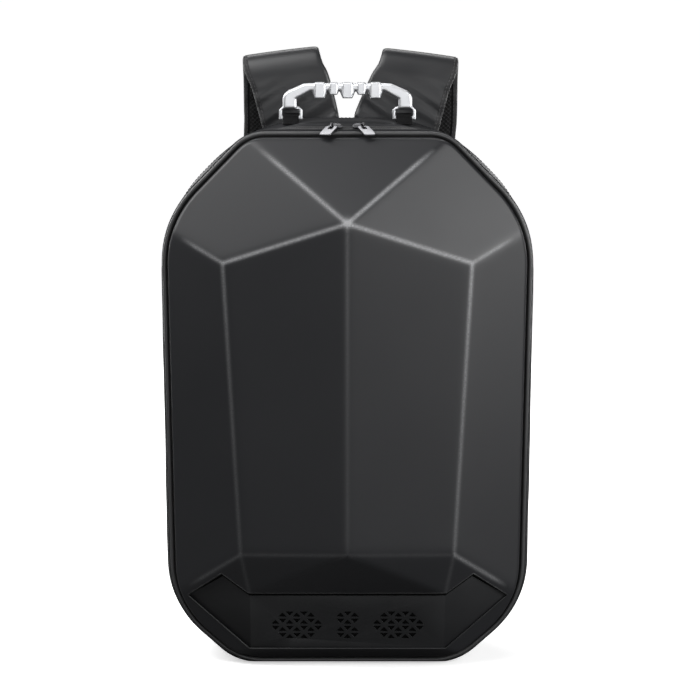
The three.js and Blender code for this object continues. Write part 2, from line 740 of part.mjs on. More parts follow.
function place(name, geometry, material) {
  const shown = geometry.index ? geometry.toNonIndexed() : geometry;
  shown.computeVertexNormals();
  const mesh = new THREE.Mesh(shown, material);
  mesh.name = name;
  bag.add(mesh);
}

function placePair(name, geometry, material) {
  place(`${name}_right`, geometry, material);
  place(`${name}_left`, mirrored(geometry), material);
}

place('front_shell', frontShell(), shellFinish);
place('speaker_panel', speakerPanel(), panelFinish);
place('speaker_box', speakerBox(), blackFinish);
place('edge_piping', edgePiping(), clothFinish);
place('front_gusset', clothBand(SECTIONS[0].y, ZIP.front - GAP, 0, CLOTH), clothFinish);
place('zip_tape', zipTape(), blackFinish);
place('rear_gusset', rearGusset(), clothFinish);
place('back_panel', backPanel(), meshFinish);
place('handle', handle(), castFinish);
placePair('handle_loop', handleLoop(), webFinish);
placePair('zip_slider', zipSlider(), chromeFinish);
placePair('zip_pull', pullTab(), chromeFinish);
placePair('shoulder_strap', sweep(STRAP, STRAP_EDGE), clothFinish);
placePair('strap_buckle', strapBuckle(), plasticFinish);
placePair('buckle_loop', barLoop(1, WEB.tuck), webFinish);
placePair('strap_webbing', strapWebbing(), webFinish);
placePair('strap_anchor', strapAnchor(), clothFinish);

export default bag;
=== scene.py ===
# %% [markdown]
# # A hard-shell speaker backpack
# The bag stands on its base with a faceted moulded shell in front, a grille panel for the speaker below it,
# a cloth gusset with a zip behind the rim, a chromed carrying handle on top and two padded shoulder straps.
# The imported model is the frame: every piece below is made in that frame and rides on one of its bodies.
# The tables are in millimetres, as in the part's source, and `MM` turns them into metres in the meshes.

# %% Load the frame
import math

import bmesh
import bpy
import numpy as np
from mathutils import Matrix, Vector


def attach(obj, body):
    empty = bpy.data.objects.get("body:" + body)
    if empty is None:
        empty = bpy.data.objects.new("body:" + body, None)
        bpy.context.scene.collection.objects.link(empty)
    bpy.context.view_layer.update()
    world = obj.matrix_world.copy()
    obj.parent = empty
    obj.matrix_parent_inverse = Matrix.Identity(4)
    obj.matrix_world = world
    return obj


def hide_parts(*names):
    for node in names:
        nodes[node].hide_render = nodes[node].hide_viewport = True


MM = 0.001
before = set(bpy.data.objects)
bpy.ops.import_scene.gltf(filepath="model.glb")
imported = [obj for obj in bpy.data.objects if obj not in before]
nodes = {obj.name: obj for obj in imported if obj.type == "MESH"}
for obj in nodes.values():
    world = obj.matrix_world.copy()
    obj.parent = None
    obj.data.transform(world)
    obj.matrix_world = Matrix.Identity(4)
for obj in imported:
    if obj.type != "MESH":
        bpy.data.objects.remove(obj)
scene = bpy.context.scene
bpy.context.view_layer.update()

# %% [markdown]
# ## Camera
# The photograph looks at the shell from the front with a long lens, a little above the middle of the bag.
# Such a view is set by three things: the point that it looks at, the distance, and the angle above the floor.
# A long lens far away keeps the two sides of the bag nearly parallel, as they are in the photograph.

# %% Camera at the photograph's angle
LOOK_AT = (2.2, -40.0, 275.6)
CAMERA_DISTANCE = 3000.0
CAMERA_RISE = 8.0
LENS, FAR_CLIP = 178.4, 50.0

lens = bpy.data.cameras.new("photo_camera")
lens.lens = LENS
lens.clip_end = FAR_CLIP
camera = bpy.data.objects.new("photo_camera", lens)
scene.collection.objects.link(camera)
rise = math.radians(CAMERA_RISE)
back = Vector((0.0, -math.cos(rise), math.sin(rise)))
camera.location = (Vector(LOOK_AT) + back * CAMERA_DISTANCE) * MM
camera.rotation_euler = (math.pi / 2 - rise, 0.0, 0.0)
scene.camera = camera
print("camera", [round(v, 3) for v in camera.location])

# %% [markdown]
# ## Studio
# A black bag on white paper is lit by large soft boxes: a strong one low on the right, one on the left, weak ones
# in front, and three behind the bag that draw the edges of the straps and the cloth. White paper would throw light
# back up under the shell, and the photograph shows that side nearly black. So the floor and the backdrop look white
# to the camera only, and stay dim for the light that bounces.

# %% Floor, backdrop and soft boxes
PAPER_WHITE, PAPER_COLOUR = 1.0, (0.93, 0.93, 0.93, 1.0)
PAPER_BOUNCE = 0.09
BACKDROP_BOUNCE, BACKDROP_TINT = 0.02, (0.95, 0.97, 1.0, 1.0)
FLOOR_HALF = 20.0
SHADOW_NEAR, SHADOW_FAR, GLOW_NEAR = 0.25, 0.7, 0.5
AIM = Vector((0.0, -0.08, 0.26))
SOFT_BOXES = [
    # name, direction to the light (azimuth, height in degrees), distance, width, length, watts
    ("key_right", 60.0, 18.0, 1.6, 0.9, 1.0, 22.6),
    ("side_left", -88.0, 40.0, 1.5, 0.9, 0.9, 17.4),
    ("front_low", 0.0, 5.0, 2.0, 1.2, 1.0, 7.7),
    ("front_high", -28.0, 60.0, 1.4, 0.8, 0.8, 6.0),
    ("high_left", -60.0, 60.0, 1.4, 0.8, 0.8, 3.8),
    ("back_right", 150.0, 4.0, 2.0, 1.2, 1.0, 16.0),
    ("back_left", -150.0, 4.0, 2.0, 1.2, 1.0, 16.0),
    ("back_top", 180.0, 50.0, 1.6, 1.2, 0.5, 8.0),
]


def put(tree, kind, values=None, **settings):
    """Adds a node: settings go to its own fields, and values to its inputs, as numbers or as links."""
    node = tree.nodes.new(kind)
    for field, setting in settings.items():
        setattr(node, field, setting)
    for socket, value in (values or {}).items():
        if isinstance(value, bpy.types.NodeSocket):
            tree.links.new(value, node.inputs[socket])
        else:
            node.inputs[socket].default_value = value
    return node


def camera_only(tree, seen, other):
    """Mixes two shaders so that the camera meets the first and every other ray the second."""
    to_camera = put(tree, "ShaderNodeLightPath").outputs["Is Camera Ray"]
    return put(tree, "ShaderNodeMixShader", {"Fac": to_camera, 1: other, 2: seen}).outputs["Shader"]


def paper_glow(tree):
    """Glow of the paper over its distance from the bag: weak where the shadow falls, full further out."""
    place = put(tree, "ShaderNodeTexCoord").outputs["Object"]
    far = put(tree, "ShaderNodeVectorMath", {0: place}, operation="LENGTH").outputs["Value"]
    spread = {"Value": far, "From Min": SHADOW_NEAR, "From Max": SHADOW_FAR,
              "To Min": GLOW_NEAR, "To Max": PAPER_WHITE}
    return put(tree, "ShaderNodeMapRange", spread).outputs["Result"]


def paper_floor():
    """A pale floor that takes the bag's shadow."""
    mesh = bpy.data.meshes.new("paper_floor")
    corners = [(x * FLOOR_HALF, y * FLOOR_HALF, 0.0) for x, y in ((-1, -1), (1, -1), (1, 1), (-1, 1))]
    mesh.from_pydata(corners, [], [(0, 1, 2, 3)])
    floor = bpy.data.objects.new("paper_floor", mesh)
    scene.collection.objects.link(floor)
    paper = bpy.data.materials.new("pale_paper")
    paper.use_nodes = True
    tree = paper.node_tree
    tree.nodes.remove(tree.nodes["Principled BSDF"])
    lit = put(tree, "ShaderNodeBsdfDiffuse", {"Color": PAPER_COLOUR})
    glow = put(tree, "ShaderNodeEmission", {"Strength": paper_glow(tree)})
    both = put(tree, "ShaderNodeAddShader", {0: lit.outputs[0], 1: glow.outputs[0]})
    dim = put(tree, "ShaderNodeBsdfDiffuse", {"Color": (PAPER_BOUNCE,) * 3 + (1.0,)})
    shown = camera_only(tree, both.outputs[0], dim.outputs[0])
    tree.links.new(shown, tree.nodes["Material Output"].inputs["Surface"])
    mesh.materials.append(paper)


def backdrop():
    """A world that is white behind the bag and dim for the light on it."""
    world = bpy.data.worlds.new("white_backdrop")
    world.use_nodes = True
    tree = world.node_tree
    white = tree.nodes["Background"]
    white.inputs["Strength"].default_value = PAPER_WHITE
    white.inputs["Color"].default_value = (1.0, 1.0, 1.0, 1.0)
    dim = put(tree, "ShaderNodeBackground", {"Color": BACKDROP_TINT, "Strength": BACKDROP_BOUNCE})
    shown = camera_only(tree, white.outputs[0], dim.outputs[0])
    tree.links.new(shown, tree.nodes["World Output"].inputs["Surface"])
    scene.world = world


def soft_box(name, azimuth, height, distance, width, length, watts):
    """A rectangular area light turned towards the middle of the bag."""
    lamp = bpy.data.lights.new(name, "AREA")
    lamp.shape = "RECTANGLE"
    lamp.size = width
    lamp.size_y = length
    lamp.energy = watts
    box = bpy.data.objects.new(name, lamp)
    turn, up = math.radians(azimuth), math.radians(height)
    to_light = Vector((math.sin(turn) * math.cos(up), -math.cos(turn) * math.cos(up), math.sin(up)))
    box.location = AIM + to_light * distance
    box.rotation_euler = (-to_light).to_track_quat("-Z", "Y").to_euler()
    scene.collection.objects.link(box)
    return box


paper_floor()
backdrop()
for row in SOFT_BOXES:
    soft_box(*row)
scene.view_settings.view_transform = "Standard"
print("soft boxes", [row[0] for row in SOFT_BOXES])

# %% [markdown]
# ## Finishes
# Each finish is a Principled BSDF with its own colour and roughness. What several finishes share, such as grain,
# weave and air mesh, is a node group that is built once: it puts out a height for the bump and a mask that varies
# over the surface. Cloth that follows a path reads its threads from UVs in millimetres; moulded pieces read theirs
# from the object's own coordinates, which are metres in the bag's frame.

# %% Helpers for node groups
def new_group(name, inputs, outputs):
    """An empty node group with named float sockets."""
    group = bpy.data.node_groups.new(name, "ShaderNodeTree")
    for label, value in inputs.items():
        socket = group.interface.new_socket(label, in_out="INPUT", socket_type="NodeSocketFloat")
        socket.default_value = value
    for label in outputs:
        group.interface.new_socket(label, in_out="OUTPUT", socket_type="NodeSocketFloat")
    return group, group.nodes.new("NodeGroupInput"), group.nodes.new("NodeGroupOutput")


def maths(tree, operation, first, second=None, clamp=False):
    """A Math node fed by sockets or plain numbers; gives its output socket."""
    values = {0: first} if second is None else {0: first, 1: second}
    return put(tree, "ShaderNodeMath", values, operation=operation, use_clamp=clamp).outputs[0]


def noise(tree, vector, scale, detail=3.0):
    """A noise texture whose scale is a socket or a number."""
    return put(tree, "ShaderNodeTexNoise", {"Vector": vector, "Scale": scale, "Detail": detail}).outputs["Fac"]


# %% Moulded grain
def moulded_grain():
    """Fine leathery pimples of a moulded skin, and a slow mottle of its gloss."""
    group, given, out = new_group("moulded_grain", {"Grain": 900.0, "Mottle": 14.0}, ("Height", "Mottle"))
    place = put(group, "ShaderNodeTexCoord").outputs["Object"]
    spread = {"Vector": place, "Scale": given.outputs["Grain"]}
    pimple = put(group, "ShaderNodeTexVoronoi", spread, feature="SMOOTH_F1")
    rough = noise(group, place, given.outputs["Grain"])
    height = maths(group, "ADD", maths(group, "SUBTRACT", 1.0, pimple.outputs["Distance"]), rough)
    group.links.new(maths(group, "MULTIPLY", height, 0.5), out.inputs["Height"])
    group.links.new(noise(group, place, given.outputs["Mottle"], 5.0), out.inputs["Mottle"])
    return group


GRAIN = moulded_grain()

# %% Woven threads
SLUB_HEIGHT, THREAD_LIGHT = 0.3, 0.8


def woven_threads():
    """Over-and-under threads: the UVs are millimetres, and Threads is their count in a millimetre."""
    group, given, out = new_group("woven_threads", {"Threads": 1.6, "Slub": 0.35}, ("Height", "Thread"))
    cloth = put(group, "ShaderNodeUVMap").outputs["UV"]
    split = put(group, "ShaderNodeSeparateXYZ", {0: cloth})
    across = maths(group, "MULTIPLY", split.outputs["X"], given.outputs["Threads"])
    along = maths(group, "MULTIPLY", split.outputs["Y"], given.outputs["Threads"])
    cell = maths(group, "ADD", maths(group, "FLOOR", across), maths(group, "FLOOR", along))
    over = maths(group, "ABSOLUTE", maths(group, "MODULO", cell, 2.0))
    warp = maths(group, "ABSOLUTE", maths(group, "SINE", maths(group, "MULTIPLY", across, math.pi)))
    weft = maths(group, "ABSOLUTE", maths(group, "SINE", maths(group, "MULTIPLY", along, math.pi)))
    pick = maths(group, "ADD", maths(group, "MULTIPLY", over, warp),
                 maths(group, "MULTIPLY", maths(group, "SUBTRACT", 1.0, over, True), weft))
    slub = maths(group, "MULTIPLY", noise(group, cloth, given.outputs["Slub"], 4.0), SLUB_HEIGHT)
    height = maths(group, "ADD", pick, slub)
    group.links.new(height, out.inputs["Height"])
    group.links.new(maths(group, "MULTIPLY", height, THREAD_LIGHT, True), out.inputs["Thread"])
    return group


WEAVE = woven_threads()

# %% Air mesh
HOLE_JITTER, HOLE_EDGE, FUZZ_SCALE, FUZZ_HEIGHT = 0.12, 6.0, 2.2, 0.35


def air_mesh():
    """Rows of small round holes in a knitted spacer fabric; UVs are millimetres, Holes their count in one."""
    group, given, out = new_group("air_mesh", {"Holes": 0.34, "Open": 0.36}, ("Height", "Hole"))
    cloth = put(group, "ShaderNodeUVMap").outputs["UV"]
    skew = put(group, "ShaderNodeMapping", {"Vector": cloth, "Rotation": (0.0, 0.0, math.pi / 4)})
    spread = {"Vector": skew.outputs[0], "Scale": given.outputs["Holes"], "Randomness": HOLE_JITTER}
    cells = put(group, "ShaderNodeTexVoronoi", spread, voronoi_dimensions="2D")
    rim = maths(group, "SUBTRACT", cells.outputs["Distance"], given.outputs["Open"])
    solid = maths(group, "MULTIPLY", rim, HOLE_EDGE, True)
    fuzz = maths(group, "MULTIPLY", noise(group, cloth, FUZZ_SCALE, 2.0), FUZZ_HEIGHT)
    group.links.new(maths(group, "ADD", solid, fuzz), out.inputs["Height"])
    group.links.new(maths(group, "SUBTRACT", 1.0, solid, True), out.inputs["Hole"])
    return group


AIR_MESH = air_mesh()

# %% Helpers for finishes
def new_finish(name, colour, roughness, metallic=0.0):
    """A material with one Principled BSDF, its constants set on the shader."""
    made = bpy.data.materials.new(name)
    made.use_nodes = True
    skin = made.node_tree.nodes["Principled BSDF"]
    skin.inputs["Base Color"].default_value = (*colour, 1.0)
    skin.inputs["Roughness"].default_value = roughness
    skin.inputs["Metallic"].default_value = metallic
    return made, skin


def put_group(made, group, **values):
    """Places a shared group in a finish with its own values."""
    return put(made.node_tree, "ShaderNodeGroup", values, node_tree=group)


def bumped(made, skin, height, depth_mm, strength=0.6):
    """Feeds a height to the shader's normal; depth is the height of a full step."""
    values = {"Strength": strength, "Distance": depth_mm * MM, "Height": height}
    bump = put(made.node_tree, "ShaderNodeBump", values)
    made.node_tree.links.new(bump.outputs["Normal"], skin.inputs["Normal"])


def tinted(made, skin, mask, low, high):
    """Base colour that runs from low to high with a mask."""
    mix = put(made.node_tree, "ShaderNodeMix", data_type="RGBA")
    sockets = {s.identifier: s for s in [*mix.inputs, *mix.outputs]}
    sockets["A_Color"].default_value = (*low, 1.0)
    sockets["B_Color"].default_value = (*high, 1.0)
    made.node_tree.links.new(mask, sockets["Factor_Float"])
    made.node_tree.links.new(sockets["Result_Color"], skin.inputs["Base Color"])


def ranged(made, socket, mask, low, high):
    """Lets a mask run a shader value from low to high."""
    spread = put(made.node_tree, "ShaderNodeMapRange", {"Value": mask, "To Min": low, "To Max": high})
    made.node_tree.links.new(spread.outputs["Result"], socket)


# %% Kinds of finish
# speckle that breaks up the highlight painted along the shell's ridges: its scale and contrast
HIGHLIGHT_SPECKS, HIGHLIGHT_SPECKLE = 900.0, 1.9


def shell_skin():
    """Matt moulded skin with a highlight painted along its ridges, broken up by speckle."""
    made, skin = new_finish("shell_skin", (0.016, 0.0165, 0.0185), 0.42)
    grain = put_group(made, GRAIN, Grain=1500.0, Mottle=9.0)
    tree = made.node_tree
    ridge = put(tree, "ShaderNodeAttribute", attribute_name="ridge")
    place = put(tree, "ShaderNodeTexCoord").outputs["Object"]
    uneven = maths(tree, "MULTIPLY", noise(tree, place, HIGHLIGHT_SPECKS, 2.0), HIGHLIGHT_SPECKLE)
    share = maths(tree, "ADD", uneven, 1.0 - HIGHLIGHT_SPECKLE / 2)
    highlighted = maths(tree, "MULTIPLY", ridge.outputs["Fac"], share, True)
    # painted highlight: the colour runs from the skin's own dark grey to light grey where the ridge value is high
    tinted(made, skin, highlighted, (0.0155, 0.016, 0.018), (0.34, 0.343, 0.35))
    ranged(made, skin.inputs["Roughness"], grain.outputs["Mottle"], 0.38, 0.5)
    bumped(made, skin, grain.outputs["Height"], 0.12, 0.35)
    return made


def grained_skin(name, colour, light, roughness, grain_scale, depth, gloss=0.5):
    """A plain moulded finish with grain and a slight mottle."""
    made, skin = new_finish(name, colour, roughness)
    skin.inputs["Specular IOR Level"].default_value = gloss
    grain = put_group(made, GRAIN, Grain=grain_scale, Mottle=25.0)
    tinted(made, skin, grain.outputs["Mottle"], colour, light)
    ranged(made, skin.inputs["Roughness"], grain.outputs["Mottle"], roughness - 0.08, roughness + 0.1)
    bumped(made, skin, grain.outputs["Height"], depth)
    return made


def woven(name, colour, light, roughness, threads, depth, gloss=0.5):
    """A woven finish: raised threads lighter than the gaps."""
    made, skin = new_finish(name, colour, roughness)
    skin.inputs["Specular IOR Level"].default_value = gloss
    weave = put_group(made, WEAVE, Threads=threads)
    tinted(made, skin, weave.outputs["Thread"], colour, light)
    ranged(made, skin.inputs["Roughness"], weave.outputs["Thread"], roughness + 0.1, roughness - 0.1)
    bumped(made, skin, weave.outputs["Height"], depth)
    return made


def airy(name, colour, hole, holes):
    """Spacer mesh: dark holes in a soft knit."""
    made, skin = new_finish(name, colour, 0.85)
    mesh = put_group(made, AIR_MESH, Holes=holes)
    tinted(made, skin, mesh.outputs["Hole"], colour, hole)
    ranged(made, skin.inputs["Roughness"], mesh.outputs["Hole"], 0.75, 0.95)
    bumped(made, skin, mesh.outputs["Height"], 0.6, 0.8)
    return made


def polished(name, colour, low, high):
    """Plated metal with a faint haze that varies over it."""
    made, skin = new_finish(name, colour, low, 1.0)
    grain = put_group(made, GRAIN, Grain=420.0, Mottle=120.0)
    ranged(made, skin.inputs["Roughness"], grain.outputs["Mottle"], low, high)
    bumped(made, skin, grain.outputs["Height"], 0.02, 0.25)
    return made


# %% The finishes
SHELL_SKIN = shell_skin()
# grained: colour, lighter mottle, roughness, grains in a metre, depth in mm, gloss
PANEL_SKIN = grained_skin("panel_skin", (0.0125, 0.013, 0.014), (0.018, 0.0185, 0.02), 0.45, 1300.0, 0.1)
SPEAKER_SKIN = grained_skin("speaker_cloth", (0.002, 0.002, 0.002), (0.004, 0.004, 0.004), 0.9, 900.0, 0.2)
PIPING_SKIN = grained_skin("piping_skin", (0.045, 0.0455, 0.047), (0.058, 0.0585, 0.06), 0.36, 1200.0, 0.08)
GUSSET_CLOTH = grained_skin("gusset_cloth", (0.019, 0.0195, 0.021), (0.0255, 0.026, 0.0275),
                            0.5, 1100.0, 0.05, 0.05)
STRAP_SKIN = grained_skin("strap_skin", (0.0175, 0.018, 0.0195), (0.0245, 0.025, 0.0265), 0.37, 1100.0, 0.12)
THREAD = grained_skin("sewing_thread", (0.03, 0.03, 0.032), (0.06, 0.06, 0.064), 0.5, 2500.0, 0.05)
# near black: shade painted in the groove round the rim, on the shell's own flange
GROOVE_SHADE = grained_skin("groove_painted_shade", (0.002, 0.002, 0.002), (0.003, 0.003, 0.003), 0.7, 1200.0, 0.05)
BUCKLE_PLASTIC = grained_skin("buckle_plastic", (0.01, 0.01, 0.011), (0.016, 0.016, 0.017), 0.42, 700.0, 0.06)
# woven: colour of the gaps, of the threads, roughness, threads in a millimetre, depth in mm, gloss
ZIP_CLOTH = woven("zip_cloth", (0.004, 0.004, 0.0045), (0.01, 0.01, 0.011), 0.6, 1.4, 0.15)
WEBBING_CLOTH = woven("webbing_cloth", (0.004, 0.004, 0.0045), (0.014, 0.014, 0.015), 0.65, 0.9, 0.35)
LOOP_CLOTH = woven("loop_cloth", (0.0015, 0.0015, 0.0017), (0.005, 0.005, 0.0055), 0.7, 0.9, 0.35, 0.15)
BINDING_CLOTH = woven("binding_cloth", (0.005, 0.005, 0.0055), (0.016, 0.016, 0.017), 0.6, 1.2, 0.25)
# air mesh: colour, colour of the holes, holes in a millimetre
STRAP_MESH = airy("strap_mesh", (0.011, 0.011, 0.012), (0.001, 0.001, 0.001), 0.36)
BACK_MESH = airy("back_mesh", (0.012, 0.012, 0.013), (0.001, 0.001, 0.001), 0.3)
# plated: colour, least and most roughness
CAST_CHROME = polished("cast_chrome", (0.66, 0.67, 0.69), 0.34, 0.46)
PULL_CHROME = polished("pull_chrome", (0.2, 0.2, 0.21), 0.24, 0.34)
SLIDER_CHROME = polished("slider_chrome", (0.12, 0.12, 0.125), 0.2, 0.32)
print("finishes", len(bpy.data.materials))

# %% [markdown]
# ## Making pieces
# Most of the bag is lofted: a row of points is carried along a path and the rows are joined with quads. A loft
# keeps the points in order, so its UVs can simply be lengths in millimetres, which is what the weaves need.
# Every new piece gets its body, its material slot and the CAD node that it stands for in the same call.

# %% Helpers for meshes
SIDES = ((1, "right"), (-1, "left"))


def unit(vectors):
    """Vectors scaled to length one."""
    return vectors / np.linalg.norm(vectors, axis=-1, keepdims=True)


def face_outward(mesh):
    """Turns all faces of a closed mesh outward."""
    shape = bmesh.new()
    shape.from_mesh(mesh)
    bmesh.ops.recalc_face_normals(shape, faces=shape.faces)
    if shape.calc_volume(signed=True) < 0:
        bmesh.ops.reverse_faces(shape, faces=shape.faces)
    shape.to_mesh(mesh)
    shape.free()


def make_piece(name, shape, finishes, stands_for=None, kinds=None):
    """Builds a piece of the bag from points in millimetres, faces and UVs, and puts it in the frame.
    stands_for is the CAD node that it replaces, and kinds the number of each face's finish."""
    points, faces, uvs = shape
    mesh = bpy.data.meshes.new(name)
    mesh.from_pydata((np.asarray(points) * MM).tolist(), [], [list(map(int, face)) for face in faces])
    if uvs is not None:
        layer = mesh.uv_layers.new(name="cloth_mm")
        layer.uv.foreach_set("vector", np.asarray(uvs, np.float32).ravel())
    face_outward(mesh)
    for finish in finishes:
        mesh.materials.append(finish)
    if kinds is not None:
        mesh.polygons.foreach_set("material_index", np.asarray(kinds, np.int32))
    mesh.shade_smooth()
    piece = bpy.data.objects.new(name, mesh)
    scene.collection.objects.link(piece)
    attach(piece, "bag")
    if stands_for:
        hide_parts(stands_for)
    return piece


def loft(rows, ring=True, capped=False, wrapped=False):
    """Joins equal rows of points with quads: gives points, faces and UVs in millimetres.
    ring closes each row on itself, wrapped joins the last row to the first, capped closes both ends."""
    rows = np.asarray(rows, float)
    count, size = rows.shape[:2]
    links = size if ring else size - 1
    steps = count if wrapped else count - 1
    around = np.concatenate([rows, rows[:, :1]], 1) if ring else rows
    ahead = np.concatenate([rows, rows[:1]], 0) if wrapped else rows
    u = np.concatenate([[0.0], np.cumsum(np.linalg.norm(np.diff(around, axis=1), axis=2).mean(0))])
    v = np.concatenate([[0.0], np.cumsum(np.linalg.norm(np.diff(ahead, axis=0), axis=2).mean(1))])
    i, j = (grid.ravel() for grid in np.meshgrid(np.arange(steps), np.arange(links), indexing="ij"))
    below, above = i * size, ((i + 1) % count) * size
    left, right = j, (j + 1) % size
    faces = np.stack([below + left, below + right, above + right, above + left], 1)
    uvs = np.stack([np.stack([u[j], v[i]], 1), np.stack([u[j + 1], v[i]], 1),
                    np.stack([u[j + 1], v[i + 1]], 1), np.stack([u[j], v[i + 1]], 1)], 1)
    faces, uvs = faces.tolist(), uvs.reshape(-1, 2).tolist()
    if capped:
        for row, order in ((0, range(size - 1, -1, -1)), (count - 1, range(size))):
            faces.append([row * size + k for k in order])
            uvs.extend([[u[k], v[min(row, steps)]] for k in order])
    return rows.reshape(-1, 3), faces, uvs


def smooth_path(table, samples):
    """A smooth run through the rows of a table: one cubic spline for each column."""
    table = np.asarray(table, float)
    ends = np.concatenate([2 * table[:1] - table[1:2], table, 2 * table[-1:] - table[-2:-1]])
    steps = np.linspace(0, len(table) - 1, samples)
    start = np.minimum(steps.astype(int), len(table) - 2)
    t = (steps - start)[:, None]
    a, b, c, d = (ends[start + k] for k in range(4))
    return 0.5 * (2 * b + (c - a) * t + (2 * a - 5 * b + 4 * c - d) * t**2 + (3 * b - a - 3 * c + d) * t**3)


def points_of(mesh):
    """Places of a mesh's points in millimetres."""
    spots = np.empty(len(mesh.vertices) * 3, np.float32)
    mesh.vertices.foreach_get("co", spots)
    return spots.reshape(-1, 3).astype(float) / MM


def put_points(mesh, spots):
    """Moves a mesh's points, given in millimetres."""
    mesh.vertices.foreach_set("co", (np.asarray(spots) * MM).astype(np.float32).ravel())
    mesh.update()


def evaluated(piece):
    """Applies a piece's modifiers to its mesh."""
    found = piece.evaluated_get(bpy.context.evaluated_depsgraph_get())
    finished = bpy.data.meshes.new_from_object(found)
    piece.modifiers.clear()
    piece.data = finished


# %% Outlines round the bag
ARC_POINTS = 18
STRAIGHT_POINTS = 22
SHELL_OUTLINE = [(93, 6, 50), (148.5, 53.5, 78), (155, 387, 90), (84, 460, 32)]
EDGE_OUTLINE = [(95.5, 0, 50), (153.4, 50.5, 82), (160, 389.5, 94), (86.5, 465, 37)]
BODY_OUTLINE = [(99, 0, 48), (158, 46, 86), (162.5, 385, 122), (82, 471.5, 150)]


def corner_arc(before, corner, after, radius):
    """Directions and centre of the arc that rounds one corner."""
    enter, leave = unit(corner - before), unit(after - corner)
    first = np.array([enter[1], -enter[0]])
    last = np.array([leave[1], -leave[0]])
    centre = corner - radius * (first + last) / (1 + first @ last)
    turn = math.acos(min(1.0, first @ last))
    angles = np.linspace(0, turn, ARC_POINTS)[:, None]
    side = unit(last - first * math.cos(turn))
    return centre, np.cos(angles) * first + np.sin(angles) * side


def both_halves(corners):
    """Corners and radii of a whole outline, from those of its right half."""
    full = corners + [(-x, z, r) for x, z, r in reversed(corners)]
    return [np.array(row[:2], float) for row in full], [row[2] for row in full]


def outline_loop(corners):
    """Closed loop (x, z) through rounded corners, with its outward directions."""
    spots, radii = both_halves(corners)
    count = len(spots)
    arcs = [corner_arc(spots[i - 1], spots[i], spots[(i + 1) % count], radii[i]) for i in range(count)]
    rounds = [centre + radius * ways for radius, (centre, ways) in zip(radii, arcs)]
    points, outward = [], []
    for i, (_, ways) in enumerate(arcs):
        points.append(rounds[i])
        outward.append(ways)
        t = np.linspace(0, 1, STRAIGHT_POINTS + 2)[1:-1, None]
        points.append(rounds[i][-1] * (1 - t) + rounds[(i + 1) % count][0] * t)
        outward.append(np.repeat(ways[-1:], STRAIGHT_POINTS, 0))
    return np.concatenate(points), np.concatenate(outward)


def at_depth(loop, y):
    """Lays an (x, z) loop at one y."""
    return np.stack([loop[:, 0], np.full(len(loop), y), loop[:, 1]], 1)


print("points in an outline", len(outline_loop(EDGE_OUTLINE)[0]))

# %% [markdown]
# ## Front shell
# The shell is one moulded sheet of foam under a matt skin: flat facets that meet in soft ridges, a rounded rim and
# a flat flange behind it. Beveling a faceted solid gives uneven corners where three ridges meet. Here the shell is
# a height field: at each point the depths of all the facet planes are joined by a soft minimum, which rounds every
# ridge and corner in one go. The same planes later tell how far a point is from the next ridge, where a highlight
# is painted on the skin.

# %% Facets of the shell
RIM_Y = -40.0
SHELL_VERTEX = {
    # x, z, depth in front of the rim
    "crown": (0, 392.4, 70), "brow": (106.3, 355.9, 41), "hip": (91.6, 104.5, 47.3), "chin": (0, 109.1, 72.6),
    "fold": (84.5, 68.6, 38), "top": (82, 457, 12), "shoulder": (154, 381, 12), "flank": (148.5, 64, 12),
    "foot": (84, 4, 16.6), "sole": (84, 15.5, 20.4), "toe": (84, 6, 8),
}
UPPER_FACETS = {
    "forehead": ("crown", "top", "-top"), "temple": ("crown", "top", "shoulder"),
    "cheek": ("crown", "brow", "hip"), "side": ("brow", "shoulder", "flank"), "jaw": ("hip", "chin", "fold"),
    "throat": ("chin", "fold", "-fold"), "wing": ("hip", "flank", "fold"),
}
LOWER_FACETS = {
    "side": ("brow", "shoulder", "flank"), "wing": ("hip", "flank", "fold"), "panel": ("fold", "-fold", "foot"),
    "sole": ("sole", "-sole", "toe"),
}
RIDGE_SHARPNESS = 1.15
RIM_ROUND = 2.0
LEAST_DEPTH = 1.6


def facet_plane(names):
    """Depth over (x, z) of the plane through three vertices, for both halves of the bag."""
    rows = []
    for name in names:
        x, z, depth = SHELL_VERTEX[name.lstrip("-")]
        rows.append((-x if name.startswith("-") else x, z, depth))
    rows = np.array(rows, float)
    flat = np.linalg.solve(np.c_[rows[:, :2], np.ones(3)], rows[:, 2])
    return [flat, flat * (-1, 1, 1)]


def facet_planes(facets):
    """All different planes of a table of facets, with the facet's name for each."""
    named = [(name, plane) for name, corners in facets.items() for plane in facet_plane(corners)]
    kept = [(name, plane) for k, (name, plane) in enumerate(named)
            if not any(np.allclose(plane, other) for _, other in named[:k])]
    return [name for name, _ in kept], np.array([plane for _, plane in kept])


UPPER_NAMES, UPPER_PLANES = facet_planes(UPPER_FACETS)
_, LOWER_PLANES = facet_planes(LOWER_FACETS)


def depths_at(planes, x, z):
    """Depth of each plane at each place."""
    return planes[:, :1] * x + planes[:, 1:2] * z + planes[:, 2:]


def soft_least(planes, x, z):
    """Soft minimum of the planes' depths: rounds every ridge between them."""
    depths = depths_at(planes, x, z)
    least = depths.min(0)
    return least - np.log(np.exp(-RIDGE_SHARPNESS * (depths - least)).sum(0)) / RIDGE_SHARPNESS


def rim_distance(x, z):
    """Distance inside the shell's outline."""
    spots, radii = both_halves(SHELL_OUTLINE)
    nearest = np.full(np.shape(x), np.inf)
    for i, radius in enumerate(radii):
        after = spots[(i + 1) % len(spots)]
        centre, ways = corner_arc(spots[i - 1], spots[i], after, radius)
        leave = unit(after - spots[i])
        nearest = np.minimum(nearest, -((x - spots[i][0]) * leave[1] - (z - spots[i][1]) * leave[0]))
        dx, dz = x - centre[0], z - centre[1]
        first, last = ways[0], ways[-1]
        inside = (first[0] * dz - first[1] * dx >= 0) & (dx * last[1] - dz * last[0] >= 0)
        nearest = np.where(inside, np.minimum(nearest, radius - np.hypot(dx, dz)), nearest)
    return nearest


